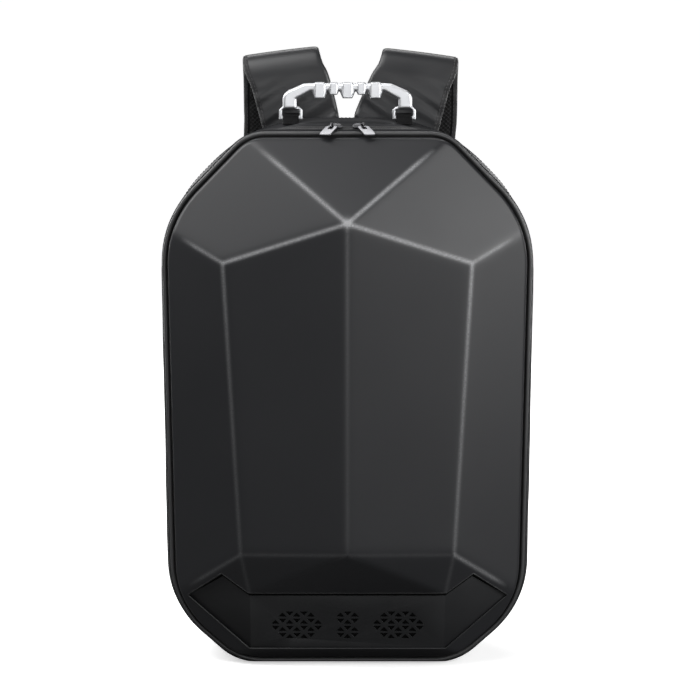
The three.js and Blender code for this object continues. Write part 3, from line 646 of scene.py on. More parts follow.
def shell_depth(x, z):
    """Depth of the shell in front of its rim."""
    upper = soft_least(UPPER_PLANES, x, z)
    lower = soft_least(LOWER_PLANES, x, z)
    depth = np.where(z <= SHELL_VERTEX["fold"][1], np.maximum(lower, upper), upper)
    far = np.clip(rim_distance(x, z), 0, RIM_ROUND)
    depth = depth - (RIM_ROUND - np.sqrt(RIM_ROUND**2 - (RIM_ROUND - far) ** 2))
    return np.maximum(depth, LEAST_DEPTH)


crown_x, crown_z, _ = SHELL_VERTEX["crown"]
print("depth at the crown", shell_depth(np.array([crown_x]), np.array([crown_z])).round(1))

# %% Shell surface with its flange and back
GRID_PITCH = 1.3
RIM_STEPS = np.array([0, 0.06, 0.18, 0.4, 0.75, 1.2, 1.8, 2.5, 3.4, 4.8])
HALF_WIDTH = 150.0
FLANGE_OUT, FLANGE_THICK, FLANGE_ROOT, WALL = 4.8, 1.4, 1.5, 3.0
CENTRE = np.array([0.0, 235.0])
BACK_RINGS = (0.9, 0.7, 0.45, 0.2)
BACK_CLEAR, LEAST_BACK = 6.0, 0.5


def shell_grid():
    """Rows across the shell, fitted to its outline and finer near the rim."""
    loop, _ = outline_loop(SHELL_OUTLINE)
    right = loop[: 3 * (ARC_POINTS + STRAIGHT_POINTS) + ARC_POINTS]
    low, high = right[0, 1], right[-1, 1]
    inner = np.arange(low + RIM_STEPS[-1] + GRID_PITCH, high - RIM_STEPS[-1], GRID_PITCH)
    z = np.concatenate([low + RIM_STEPS, inner, high - RIM_STEPS[::-1]])
    half = np.interp(z, right[:, 1], right[:, 0])
    edge = 1 - RIM_STEPS / HALF_WIDTH
    middle = np.arange(GRID_PITCH / HALF_WIDTH, edge[-1], GRID_PITCH / HALF_WIDTH)
    across = np.concatenate([-edge, -middle[::-1], [0.0], middle, edge[::-1]])
    x = half[:, None] * across
    return x, np.repeat(z[:, None], len(across), 1)


def edge_of_grid(rows, columns):
    """Indices of a grid's border, in order."""
    bottom = [(0, j) for j in range(columns)]
    right = [(i, columns - 1) for i in range(1, rows)]
    top = [(rows - 1, j) for j in range(columns - 2, -1, -1)]
    left = [(i, 0) for i in range(rows - 2, 0, -1)]
    return np.array([i * columns + j for i, j in bottom + right + top + left])


def shell_mesh():
    """Closed shell: the front, the flange round it and a plain skin behind."""
    x, z = shell_grid()
    rows, columns = x.shape
    depth = shell_depth(x.ravel(), z.ravel())
    front = np.stack([x.ravel(), RIM_Y - depth, z.ravel()], 1)
    _, faces, _ = loft(front.reshape(rows, columns, 3), ring=False)
    border = edge_of_grid(rows, columns)
    rim = np.stack([x.ravel()[border], z.ravel()[border]], 1)
    along = unit(np.roll(rim, -1, 0) - np.roll(rim, 1, 0))
    outward = np.stack([along[:, 1], -along[:, 0]], 1)
    rings = [
        at_depth(rim, RIM_Y - FLANGE_ROOT),
        at_depth(rim + outward * FLANGE_OUT, RIM_Y - FLANGE_THICK),
        at_depth(rim + outward * FLANGE_OUT, RIM_Y),
        at_depth(rim - outward * WALL, RIM_Y),
    ]
    for share in BACK_RINGS:
        spot = CENTRE + (rim - CENTRE) * share
        behind = np.maximum(shell_depth(spot[:, 0], spot[:, 1]) - BACK_CLEAR, LEAST_BACK)
        rings.append(np.stack([spot[:, 0], RIM_Y - behind, spot[:, 1]], 1))
    points = np.concatenate([front, *rings])
    size = len(border)
    loops = [border] + [len(front) + k * size + np.arange(size) for k in range(len(rings))]
    for near, far in zip(loops, loops[1:]):
        faces.extend(np.stack([near, np.roll(near, -1), np.roll(far, -1), far], 1)[:, ::-1].tolist())
    faces.append(loops[-1].tolist())
    return points, faces, None


# the shell's second finish is near-black painted shade, given to the groove further down
shell = make_piece("moulded_shell", shell_mesh(), [SHELL_SKIN, GROOVE_SHADE], "front_shell")
print("shell faces", len(shell.data.polygons))

# %% [markdown]
# The panel opening is cut out of the closed shell with a boolean, because a straight clean edge is wanted across
# the rows of the grid. After the cut, each point gets its ridge value: how strongly a highlight is painted there. A
# thin rolled lip is laid along the edge, which catches the light in the photograph.

# %% Opening for the speaker panel
PANEL_OUTLINE = [(84.4, 16.5), (138, 62.6), (107.6, 85.5), (84.5, 69)]
PANEL_SEAM, PANEL_CENTRE = 0.6, np.array([0.0, 38.6])
CUT_FRONT, CUT_BACK = -160.0, -20.0


def panel_corners(grow):
    """The opening's corners, moved out from its centre."""
    half = np.array(PANEL_OUTLINE, float)
    full = np.concatenate([half, half[::-1] * (-1, 1)])
    return full + unit(full - PANEL_CENTRE) * grow


def cut_opening(piece, corners):
    """Takes a straight prism out of a piece."""
    rows = [at_depth(corners, CUT_FRONT), at_depth(corners, CUT_BACK)]
    block, sides, _ = loft(rows, capped=True)
    mesh = bpy.data.meshes.new("opening")
    mesh.from_pydata((block * MM).tolist(), [], sides)
    face_outward(mesh)
    cutter = bpy.data.objects.new("opening", mesh)
    scene.collection.objects.link(cutter)
    cut = piece.modifiers.new("opening", "BOOLEAN")
    cut.operation = "DIFFERENCE"
    cut.solver = "MANIFOLD"
    cut.object = cutter
    evaluated(piece)
    bpy.data.objects.remove(cutter)


cut_opening(shell, panel_corners(PANEL_SEAM))
print("shell with opening", len(shell.data.polygons), "faces")

# %% Painted ridge highlights, and painted shade in the groove round the rim
RIDGE_HIGHLIGHT = {
    # how strongly a highlight is painted on each ridge: left, right
    ("forehead", "temple"): (0.77, 1.15), ("cheek", "temple"): (1.08, 1.3), ("side", "temple"): (0.64, 0.66),
    ("cheek", "side"): (0.5, 1.1), ("side", "wing"): (0.2, 0.6), ("cheek", "jaw"): (0.12, 0.08),
    ("cheek", "throat"): (0.12, 0.12), ("jaw", "wing"): (0.1, 0.1), ("cheek", "cheek"): (0.15, 0.15),
}
# width of the painted ridge highlight, its strength, its fading near the rim, and its painted spot on the crown
HIGHLIGHT_HALF = 1.1
LINE_HIGHLIGHT, CROWN_HIGHLIGHT, CROWN_HIGHLIGHT_HALF = 0.62, 0.6, 2.8
HIGHLIGHT_FADE = (8.0, 22.0)
# the highlight painted on the side ridges grows with height: z, strength
SIDE_HIGHLIGHT = ((110.0, 0.3), (200.0, 0.4), (280.0, 0.6), (356.0, 1.0))
SIDE_RIDGES = ({"cheek", "side"}, {"cheek"})
# how far behind the rim the faces get the groove's painted shade, and the angle for sharp edges
GROOVE_DEPTH, SHARP_FROM = 5.0, 50.0


def highlight_between(first, second, depths, x, z):
    """Painted highlight band along the ridges between each point's facet and one of the facets next to it."""
    points = np.arange(depths.shape[1])
    steep = np.linalg.norm(UPPER_PLANES[first, :2] - UPPER_PLANES[second, :2], axis=1)
    far = (depths[second, points] - depths[first, points]) / np.maximum(steep, 1e-6)
    none = (0.0, 0.0)
    table = np.array([[RIDGE_HIGHLIGHT.get(tuple(sorted((a, b))), none) for b in UPPER_NAMES] for a in UPPER_NAMES])
    on_right = (x > 0).astype(int)
    along_side = np.array([[{a, b} in SIDE_RIDGES for b in UPPER_NAMES] for a in UPPER_NAMES])
    fade = np.where(along_side[first, second], np.interp(z, *zip(*SIDE_HIGHLIGHT)), 1.0)
    return table[first, second, on_right] * fade * np.exp(-0.5 * (far / HIGHLIGHT_HALF) ** 2)


def paint_ridge_highlights(piece):
    """Writes how strongly a highlight is painted at each point of the shell, for its finish."""
    spots = points_of(piece.data)
    x, z = spots[:, 0], spots[:, 2]
    depths = depths_at(UPPER_PLANES, x, z)
    first, second, third = np.argsort(depths, axis=0)[:3]
    ridge_light = highlight_between(first, second, depths, x, z) + highlight_between(first, third, depths, x, z)
    near, far = HIGHLIGHT_FADE
    ridge_light = LINE_HIGHLIGHT * np.minimum(ridge_light, 1.0) * np.clip((rim_distance(x, z) - near) / (far - near), 0, 1)
    # a painted highlight spot on the crown, where the ridges meet
    ridge_light += CROWN_HIGHLIGHT * np.exp(-0.5 * np.hypot(x - crown_x, z - crown_z) ** 2 / CROWN_HIGHLIGHT_HALF**2)
    layer = piece.data.attributes.new("ridge", "FLOAT", "POINT")
    layer.data.foreach_set("value", ridge_light.astype(np.float32))


def paint_groove_shade(piece):
    """Paints shade on the flange and the foot of the rim with the near-black second finish, by their depth."""
    behind = points_of(piece.data)[:, 1] > RIM_Y - GROOVE_DEPTH
    for face in piece.data.polygons:
        if all(behind[k] for k in face.vertices):
            face.material_index = 1


paint_ridge_highlights(shell)
paint_groove_shade(shell)
shell.data.shade_smooth()
shell.data.set_sharp_from_angle(angle=math.radians(SHARP_FROM))
print("ridges rubbed over", HIGHLIGHT_HALF * 2, "mm")

# %% Lip of the opening
LIP_ROUND, LIP_SIDES, LIP_STEP = 0.8, 8, 3.0
LIP_OUT, LIP_SUNK = 0.48, 0.56


def tube(path, radius, sides):
    """A round tube along a closed path of points."""
    along = unit(np.roll(path, -1, 0) - np.roll(path, 1, 0))
    aside = unit(np.cross(along, np.array([0.0, 1.0, 0.0])))
    up = np.cross(aside, along)
    angles = np.linspace(0, 2 * math.pi, sides, endpoint=False)
    rows = [path + radius * (math.cos(a) * aside + math.sin(a) * up) for a in angles]
    return loft(np.stack(rows, 1), wrapped=True)


def walked(corners, step):
    """Points along a closed polygon, a step apart."""
    walk = []
    for start, end in zip(corners, np.roll(corners, -1, 0)):
        count = max(2, int(np.linalg.norm(end - start) / step))
        walk.append(start + (end - start) * np.linspace(0, 1, count, endpoint=False)[:, None])
    return np.concatenate(walk)


edge = walked(panel_corners(PANEL_SEAM + LIP_OUT), LIP_STEP)
lip_depth = shell_depth(edge[:, 0], edge[:, 1])
lip_path = np.stack([edge[:, 0], RIM_Y - lip_depth + LIP_SUNK, edge[:, 1]], 1)
make_piece("opening_lip", tube(lip_path, LIP_ROUND, LIP_SIDES), [PANEL_SKIN])
print("lip length", round(float(np.linalg.norm(np.diff(lip_path, axis=0), axis=1).sum())), "mm")

# %% [markdown]
# ## Speaker panel and box
# The panel is a moulded plate with triangular sound holes in three groups, and the CAD solid already has its true
# shape. It only needs what a mould gives: softly broken edges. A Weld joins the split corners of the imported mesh,
# then a narrow Bevel rounds every edge that is sharper than the limit. The dark speaker cloth behind it is treated
# alike.

# %% Soft edges on moulded CAD pieces
WELD_GAP, BEVEL_FROM = 1e-5, 25.0


def soften(node, finish, width, segments=2):
    """Keeps a CAD piece, with its edges rounded and a finish of its own."""
    piece = nodes[node]
    piece.modifiers.new("weld", "WELD").merge_threshold = WELD_GAP
    bevel = piece.modifiers.new("soft_edges", "BEVEL")
    bevel.width = width * MM
    bevel.segments = segments
    bevel.limit_method = "ANGLE"
    bevel.angle_limit = math.radians(BEVEL_FROM)
    bevel.harden_normals = True
    piece.data.materials.clear()
    piece.data.materials.append(finish)
    piece.data.shade_smooth()
    return piece


PANEL_BEVEL = 0.4
soften("speaker_panel", PANEL_SKIN, PANEL_BEVEL)
soften("speaker_box", SPEAKER_SKIN, PANEL_BEVEL)
print("panel edges rounded over", PANEL_BEVEL, "mm")

# %% [markdown]
# ## Gusset, piping and zip
# Behind the rim a coated cloth band runs round the bag, in two parts with the zip between them, and a piped edge
# covers the seam between shell and cloth. All of them follow the same outline, so each is a loft round that loop:
# only the profile differs. The cloth gets a slight ripple along its length, since sewn cloth is never straight.

# %% Cloth bands round the bag
SECTIONS = [
    # y, share of the way from the rim's outline to the body's
    (-39.7, 0), (-33.8, 0.45), (-26.2, 0.75), (-15, 0.95), (5, 1), (25, 1), (36, 0.93), (44, 0.78),
]
CLOTH, BAND_STEP, INNER_ROWS = 2.4, 3.0, 8
EDGE_SHARES, EDGE_END = np.array([0.0, 0.01, 0.03]), 0.06
ROLL_PART, CALM_PART = 8, 6
RIPPLES = [
    # waves round the bag, height in mm, turn for each mm of y, start
    (10, 0.16, 0.11, 0.0), (25, 0.096, -0.23, 1.3),
]
EDGE_LOOP, EDGE_WAYS = outline_loop(EDGE_OUTLINE)
BODY_LOOP, BODY_WAYS = outline_loop(BODY_OUTLINE)


def swell_at(y):
    """How far the cloth has swollen from the rim's outline to the body's."""
    return float(np.interp(y, *zip(*SECTIONS)))


def cloth_ring(y, inset=0.0):
    """The bag's outline at one y, moved in by an inset."""
    swell = swell_at(y)
    loop = EDGE_LOOP * (1 - swell) + BODY_LOOP * swell
    ways = unit(EDGE_WAYS * (1 - swell) + BODY_WAYS * swell)
    return at_depth(loop - ways * inset, y)


def on_floor(loop, height=0.0):
    """The loop with nothing below a height: the bag stands on its cloth and presses it flat."""
    return np.column_stack([loop[:, :2], np.maximum(loop[:, 2], height)])


def ripple(loop, y, calm):
    """Small unevenness of sewn cloth, none where it is sewn down: whole waves round the bag."""
    steps = np.linalg.norm(np.diff(loop, axis=0, append=loop[:1]), axis=1)
    turn = 2 * math.pi * (np.cumsum(steps) - steps) / steps.sum()
    return -calm * sum(height * np.sin(waves * turn + y * lean + start) for waves, height, lean, start in RIPPLES)


def roll(t, height):
    """Rounds a band's edge: 0 in the middle, growing to its full inset at both ends."""
    return height * max(0.0, abs(2 * t - 1) * ROLL_PART - (ROLL_PART - 1)) ** 2


def cloth_band(front, back, edge_roll, bulge=0.0):
    """Closed band of cloth between two values of y."""
    steps = max(6, int((back - front) / BAND_STEP))
    shares = np.concatenate([EDGE_SHARES, np.linspace(EDGE_END, 1 - EDGE_END, steps), 1 - EDGE_SHARES[::-1]])
    outer = []
    for share in shares:
        y = front + (back - front) * share
        calm = min(1.0, CALM_PART * share, CALM_PART * (1 - share))
        loop = cloth_ring(y, roll(share, edge_roll) + bulge * ((2 * share - 1) ** 2 - 0.5))
        sway = ripple(loop, y, calm)[:, None] * EDGE_WAYS
        outer.append(on_floor(loop - np.insert(sway, 1, 0, 1)))
    inner = [cloth_ring(y, CLOTH) for y in np.linspace(back, front, INNER_ROWS)]
    return loft(np.stack(outer + inner), wrapped=True)


ZIP_FRONT, ZIP_BACK = -36.5, -29.5
SEAM = 0.3
front_band = cloth_band(SECTIONS[0][0], ZIP_FRONT - SEAM, edge_roll=0.6, bulge=1.5)
rear_band = cloth_band(ZIP_BACK + SEAM, SECTIONS[-1][0], edge_roll=1.0)
make_piece("front_cloth", front_band, [GUSSET_CLOTH], "front_gusset")
make_piece("rear_cloth", rear_band, [GUSSET_CLOTH], "rear_gusset")
print("cloth bands with", len(front_band[1]), "and", len(rear_band[1]), "faces")

# %% Piped edge
PIPING_ROUND, PIPING_SIDES, PIPING_OUT, PIPING_Y = 1.7, 14, 3.3, -43.3
REAR_PIPING_ROUND, REAR_PIPING_SIDES, REAR_PIPING_IN, REAR_PIPING_Y = 1.5, 12, 1.6, 44.8
SHELL_LOOP, SHELL_WAYS = outline_loop(SHELL_OUTLINE)
front_run = at_depth(SHELL_LOOP + SHELL_WAYS * PIPING_OUT, PIPING_Y)
rear_run = cloth_ring(REAR_PIPING_Y, REAR_PIPING_IN)
make_piece("piped_edge", tube(front_run, PIPING_ROUND, PIPING_SIDES), [PIPING_SKIN], "edge_piping")
make_piece("rear_piping", tube(rear_run, REAR_PIPING_ROUND, REAR_PIPING_SIDES), [GUSSET_CLOTH])
print("piping", PIPING_ROUND * 2, "mm thick in front,", REAR_PIPING_ROUND * 2, "mm behind")

# %% Zip tape and the cloth between its ends
ZIP_END_X, ZIP_END_Z = 84.0, 20.0
ZIP_PROFILE = [
    # share from front to back, sunk below the cloth
    (0.0, 1.3), (0.02, 0.6), (0.1, 0.45), (0.4, 0.5), (0.455, 0.75), (0.485, 1.5), (0.515, 1.5), (0.545, 0.75),
    (0.6, 0.5), (0.9, 0.45), (0.98, 0.6), (1.0, 1.3), (1.0, 2.2), (0.5, 2.3), (0.0, 2.2),
]
BASE_PROFILE = [
    (0.0, 0.4), (0.05, 0.1), (0.35, 0.0), (0.65, 0.0), (0.95, 0.1), (1.0, 0.4), (1.0, 2.3), (0.0, 2.3),
]


def strip_round(profile, chosen):
    """A band with its own profile along a run of the outline's points."""
    rows = [cloth_ring(ZIP_FRONT + (ZIP_BACK - ZIP_FRONT) * share, sunk)[chosen] for share, sunk in profile]
    return loft(np.stack(rows, 1), capped=True)


in_base = (np.abs(EDGE_LOOP[:, 0]) < ZIP_END_X) & (EDGE_LOOP[:, 1] < ZIP_END_Z)
first = int(np.argmax(~in_base & np.roll(in_base, 1)))
order = (np.arange(len(in_base)) + first) % len(in_base)
zip_run = order[~in_base[order]]
base_run = np.concatenate([zip_run[-1:], order[in_base[order]], zip_run[:1]])
make_piece("zip_band", strip_round(ZIP_PROFILE, zip_run), [ZIP_CLOTH], "zip_tape")
make_piece("base_cloth", strip_round(BASE_PROFILE, base_run), [GUSSET_CLOTH])
print("zip runs through", len(zip_run), "points, the base cloth through", len(base_run))

# %% [markdown]
# ## Sewing
# Stitches are short threads that dip into the cloth at both ends. Each is a small spindle; a row of them follows a
# path with a fixed pitch. As real thread they catch single lights, which a painted line of dashes doesn't do.

# %% Rows of stitches
STITCH_PITCH, STITCH_LENGTH, STITCH_ROUND = 3.4, 2.5, 0.36
SPINDLE = [(-0.5, 0.25), (-0.3, 0.9), (0.0, 1.0), (0.3, 0.9), (0.5, 0.25)]
SPINDLE_SIDES, SPINDLE_LEAN = 6, np.array([0.3, 0.9, 0.31])


def resampled(path, pitch):
    """Points along an open path at an even pitch."""
    run = np.concatenate([[0], np.cumsum(np.linalg.norm(np.diff(path, axis=0), axis=1))])
    places = np.arange(pitch / 2, run[-1], pitch)
    return np.stack([np.interp(places, run, path[:, k]) for k in range(3)], 1)


def closed(loop):
    """A loop with its first point once more at its end."""
    return np.concatenate([loop, loop[:1]])


def stitch_row(name, paths, finish=THREAD):
    """Stitches along one or more paths, as one piece."""
    points, faces = [], []
    angles = np.linspace(0, 2 * math.pi, SPINDLE_SIDES, endpoint=False)
    for path in paths:
        spots = resampled(path, STITCH_PITCH)
        along = unit(np.gradient(spots, axis=0))
        aside = unit(np.cross(along, SPINDLE_LEAN))
        up = np.cross(aside, along)
        for spot, a, b, c in zip(spots, along, aside, up):
            base = len(points) * SPINDLE_SIDES * len(SPINDLE)
            circle = STITCH_ROUND * (np.outer(np.cos(angles), b) + np.outer(np.sin(angles), c))
            rings = [spot + a * t * STITCH_LENGTH + r * circle for t, r in SPINDLE]
            shape, quads, _ = loft(rings, capped=True)
            points.append(shape)
            faces.extend([[base + k for k in quad] for quad in quads])
    make_piece(name, (np.concatenate(points), faces, None), [finish])


GUSSET_SEAM_Y, GUSSET_SEAM_IN = 39.0, -0.12
seam_loop = on_floor(cloth_ring(GUSSET_SEAM_Y, GUSSET_SEAM_IN), STITCH_ROUND)
stitch_row("rear_seam_stitches", [closed(seam_loop)], GUSSET_CLOTH)
print("stitch pitch", STITCH_PITCH, "mm")

# %% [markdown]
# ## Cast metal
# The carrying handle, the zip sliders and their pulls are cast and plated: every edge is blended and the crossings
# have fillets. Bevels fail on such crossings. A voxel remesh of the CAD solid followed by a few rounds of
# smoothing melts all the edges by the same amount, as casting does, and it keeps the size.

# %% Cast copies of the CAD solids
MELT = 0.5


def voxel_copy(node, name, finish, voxel):
    """A copy of a CAD solid, to be remeshed in small even faces once its modifiers are applied."""
    mesh = nodes[node].data.copy()
    mesh.materials.clear()
    mesh.materials.append(finish)
    piece = bpy.data.objects.new(name, mesh)
    scene.collection.objects.link(piece)
    piece.modifiers.new("weld", "WELD").merge_threshold = WELD_GAP
    remesh = piece.modifiers.new("remesh", "REMESH")
    remesh.mode = "VOXEL"
    remesh.voxel_size = voxel * MM
    return piece


def cast_copy(node, name, voxel, rounds, finish, body):
    """A CAD solid remeshed and melted a little, as its own piece."""
    piece = voxel_copy(node, name, finish, voxel)
    melt = piece.modifiers.new("melt", "SMOOTH")
    melt.factor = MELT
    melt.iterations = rounds
    evaluated(piece)
    piece.data.shade_smooth()
    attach(piece, body)
    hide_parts(node)
    return piece


cast_pieces = [cast_copy("handle", "cast_handle", 0.45, 8, CAST_CHROME, "handle")]
for _, label in SIDES:
    slider, pull = f"zip_slider_{label}", f"zip_pull_{label}"
    cast_copy(slider, f"cast_slider_{label}", 0.3, 4, SLIDER_CHROME, "bag")
    cast_pieces.append(cast_copy(pull, f"cast_pull_{label}", 0.3, 3, PULL_CHROME, pull))
print("cast pieces", [piece.name for piece in cast_pieces])

# %% [markdown]
# A photographer holds white cards round polished metal, so that it mirrors white and not the dark room. Here each
# card is one more soft box. Light linking gives the cards to the handle and the pulls alone, because on the black
# shell they would wash out the facets.

# %% White cards for the metal
CHROME_CARDS = [
    # as in SOFT_BOXES
    ("card_top", 0.0, 70.0, 1.6, 2.4, 2.4, 12.0),
    ("card_left", -75.0, 15.0, 1.8, 2.0, 2.0, 7.0),
    ("card_right", 75.0, 15.0, 1.8, 2.0, 2.0, 7.0),
]
mirrored_by = bpy.data.collections.new("mirrors_the_cards")
for piece in cast_pieces:
    mirrored_by.objects.link(piece)
for row in CHROME_CARDS:
    soft_box(*row).light_linking.receiver_collection = mirrored_by

# %% [markdown]
# ## Handle loops
# Two short loops of webbing carry the handle: each lies flat on the cloth, climbs over the ring's lower bar and
# comes down behind it. A flat band is modelled directly: its profile is carried along a path, and the face of the
# band turns with the path. The same helper makes the webbing on the shoulder straps.

# %% Flat bands along a path
BAND_EDGE, BAND_SHARES = 0.3, (0.6, 0.2, -0.2, -0.6)


def flat_band(path, across, width, thick):
    """A band with rounded edges along a path; across is the direction of its width, one for each point."""
    path, across = np.asarray(path, float), unit(np.asarray(across, float))
    along = unit(np.gradient(path, axis=0))
    across = unit(across - along * (across * along).sum(1, keepdims=True))
    face = np.cross(across, along)
    half, deep = width / 2, thick / 2
    profile = [(half, 0.0), (half - deep * BAND_EDGE, deep * (1 - BAND_EDGE)), (half - deep, deep)]
    profile += [(half * share, deep) for share in BAND_SHARES]
    profile += [(-u, v) for u, v in reversed(profile[:3])]
    profile += [(-u, -v) for u, v in profile[1:-1]]
    rows = [path + across * u + face * v for u, v in profile]
    return loft(np.stack(rows, 1), capped=True)


# %% Loops that hold the handle
LOOP_X, LOOP_WIDTH, LOOP_THICK, LOOP_ROUND, LOOP_LIE = 49.3, 14.0, 1.3, 3.65, 0.75
LOOP_FOOT, LOOP_SAMPLES, TURN_POINTS = (16.0, 11.0, 7.0), 90, 9
HANDLE_Y, BAR_Z, TOP_FROM = 8.0, 473.1, 400.0


def cloth_top(x, y):
    """Height of the bag's cloth over a place on top."""
    ring = cloth_ring(y)
    top = ring[ring[:, 2] > TOP_FROM]
    top = top[np.argsort(top[:, 0])]
    return float(np.interp(x, top[:, 0], top[:, 2]))


def handle_loop(side):
    """One loop: foot, over the bar, foot."""
    x = side * LOOP_X
    foot = [(-reach, cloth_top(x, HANDLE_Y - reach) + LOOP_LIE) for reach in LOOP_FOOT]
    half_turn = np.linspace(0, math.pi, TURN_POINTS)
    arc = [(-LOOP_ROUND * math.cos(a), BAR_Z + LOOP_ROUND * math.sin(a)) for a in half_turn]
    heel = [(reach, cloth_top(x, HANDLE_Y + reach) + LOOP_LIE) for reach in reversed(LOOP_FOOT)]
    path = smooth_path([(x, HANDLE_Y + y, z) for y, z in foot + arc + heel], LOOP_SAMPLES)
    return flat_band(path, np.tile([1.0, 0.0, 0.0], (len(path), 1)), LOOP_WIDTH, LOOP_THICK)


for side, label in SIDES:
    make_piece(f"handle_webbing_{label}", handle_loop(side), [LOOP_CLOTH], f"handle_loop_{label}")
print("handle loops", LOOP_WIDTH, "mm wide")

# %% [markdown]
# ## Shoulder straps
# Each strap is a foam pad: smooth coated skin on the side that shows, air mesh on the side that lies on the
# shoulder, and the skin folded over the edge and sewn down. It rises from the back of the bag, turns over and
# hangs down to the buckle. A pad of constant thickness would look like a plank, so its section swells in the
# middle, thins to a sewn edge and dips along the seam.

# %% Strap pads
STRAP_ROWS = [
    # x, y, z, width, thick, tilt of the width in degrees, of the right strap
    (36, 64.2, 428, 64, 10, 9), (40.5, 64.3, 447, 69, 10, 9), (45, 65, 468, 70, 10, 9),
    (54.5, 66.6, 499, 68, 10, 9), (61.5, 69.2, 513, 66, 10, 8), (64, 74, 521.3, 65, 10, 8),
    (64.5, 81, 522.6, 65, 10, 7), (64.5, 87.5, 516.5, 65, 10, 6), (64, 91.5, 502, 65, 10, 4),
    (63.5, 98, 462, 65, 10, 0), (61, 106, 395, 65, 10, 0), (66, 111, 325, 62, 10, 0),
    (73, 110, 255, 57, 10, 0), (81, 103, 195, 49, 9, 0), (85, 98.5, 170, 40, 7, 0), (86, 97.3, 164, 32, 5, 0),
]
STRAP_SAMPLES = 170
# The two straps of the photograph differ: by height, how far each reaches further in, out and down (1 is the right)
SPREAD_Z = (440.0, 468.0, 499.0, 515.0, 530.0)
SPREAD_IN = {1: (0.0, 4.5, 1.8, 1.8, 1.8), -1: (0.0, 2.5, 5.2, 7.2, 7.5)}
WIDER_Z, WIDER_OUT, DROOP = (420.0, 465.0), {1: 2.0, -1: -3.4}, {1: 1.5, -1: 0.0}
SPREAD_Y = (80.0, 95.0)
SEAM_SHARE, SEAM_DIP, SEAM_HALF, BINDING_SHARE = 0.84, 0.3, 0.022, 0.87
EDGE_POWER, CROWN_SHARE = 22, 0.1
STRAP_SHARES = [1, 0.995, 0.98, 0.955, 0.925, 0.89, 0.86, SEAM_SHARE, 0.82, 0.78, 0.7, 0.58, 0.42, 0.22, 0]


def pad_height(share, seam):
    """Half thickness of the pad over its width, as a part of the full one."""
    edge = (1 - abs(share) ** EDGE_POWER) ** 0.5
    crown = 1 - CROWN_SHARE + CROWN_SHARE * math.cos(math.pi / 2 * share)
    dip = SEAM_DIP * math.exp(-(((abs(share) - SEAM_SHARE) / SEAM_HALF) ** 2)) if seam else 0.0
    return edge * (crown - dip)


def strap_section(side):
    """Points round the pad: skin side first, then the mesh side, with the kind of each quad."""
    shares = STRAP_SHARES + [-s for s in STRAP_SHARES[-2::-1]]
    skin_side = [(s, pad_height(s, False)) for s in shares]
    mesh_side = [(s, -pad_height(s, True)) for s in shares[-2:0:-1]]
    section = np.array(skin_side + mesh_side)
    ahead = np.roll(section, -1, 0)
    middle = (section + ahead) / 2
    mesh = (middle[:, 1] < 0) & (np.abs(middle[:, 0]) < SEAM_SHARE)
    bound = middle[:, 0] * side > BINDING_SHARE
    return section, np.where(bound, 2, mesh.astype(int))


def strap_frame(side):
    """Centre, width direction, face direction and sizes along one strap."""
    rows = smooth_path(STRAP_ROWS, STRAP_SAMPLES)
    rising = np.interp(rows[:, 1], SPREAD_Y, (1.0, 0.0))
    spread = np.interp(rows[:, 2], SPREAD_Z, SPREAD_IN[side]) * rising
    high = np.interp(rows[:, 2], WIDER_Z, (0.0, 1.0))
    rows[:, 0] += (WIDER_OUT[side] * high - spread) / 2
    rows[:, 2] -= DROOP[side] * high
    rows[:, 3] += WIDER_OUT[side] * high + spread
    centre = rows[:, :3] * (side, 1, 1)
    tilt = np.radians(rows[:, 5]) * side
    across = np.stack([np.cos(tilt), np.zeros_like(tilt), -np.sin(tilt)], 1)
    along = unit(np.gradient(centre, axis=0))
    face = unit(np.cross(across, along))
    return centre, across, face, rows[:, 3:4] / 2, rows[:, 4:5] / 2


# %% Folds and seams of the straps
FOLD_Z, FOLD_HALF, FOLD_DEPTH, FOLD_PITCH, FOLD_SLANT = 478.0, 17.0, 1.1, 21.0, 0.7
FINE_FOLD, FINE_RATE, FINE_START, FINE_WANDER = 0.5, 1.7, 1.0, 40.0
SEWN_SHARE, BINDING_SEAMS, THREAD_PROUD, SEAM_SKIP = 0.89, (0.9, 0.96), 0.02, 6


def soft_folds(spots):
    """Slanting folds where the strap leaves the back and bends: how far each point is pressed in."""
    x, y, z = spots.T
    near = np.exp(-(((z - FOLD_Z) / FOLD_HALF) ** 2)) * np.interp(y, SPREAD_Y, (1.0, 0.0))
    slant = (z + FOLD_SLANT * np.abs(x)) * 2 * math.pi / FOLD_PITCH
    fine = FINE_FOLD * np.sin(FINE_RATE * slant + FINE_START + x / FINE_WANDER)
    return FOLD_DEPTH * near * (np.sin(slant) + fine)


def shoulder_strap(side, label):
    """The pad, with stitches along its mesh side and its outer edge."""
    centre, across, face, half, deep = strap_frame(side)
    section, kinds = strap_section(side)
    rows = np.stack([centre + across * half * u + face * deep * v for u, v in section], 1)
    rows = np.stack([row - way * soft_folds(row)[:, None] for row, way in zip(rows, face)])
    kinds = np.concatenate([np.tile(kinds, len(rows) - 1), [0, 0]])
    skins = [STRAP_SKIN, STRAP_MESH, BINDING_CLOTH]
    pad = make_piece(f"strap_pad_{label}", loft(rows, capped=True), skins, f"shoulder_strap_{label}", kinds)
    low = pad_height(SEWN_SHARE, True) + THREAD_PROUD
    seams = [centre + across * half * s * SEWN_SHARE - face * deep * low for s in (1, -1)]
    for share in BINDING_SEAMS:
        high = pad_height(share, False) + THREAD_PROUD
        seams.append(centre + across * half * side * share + face * deep * high)
    seams = [seam - face * soft_folds(seam)[:, None] for seam in seams]
    stitch_row(f"strap_stitches_{label}", [seam[SEAM_SKIP:-SEAM_SKIP] for seam in seams])
    return pad


for side, label in SIDES:
    pad = shoulder_strap(side, label)
    print(pad.name, len(pad.data.polygons), "faces")

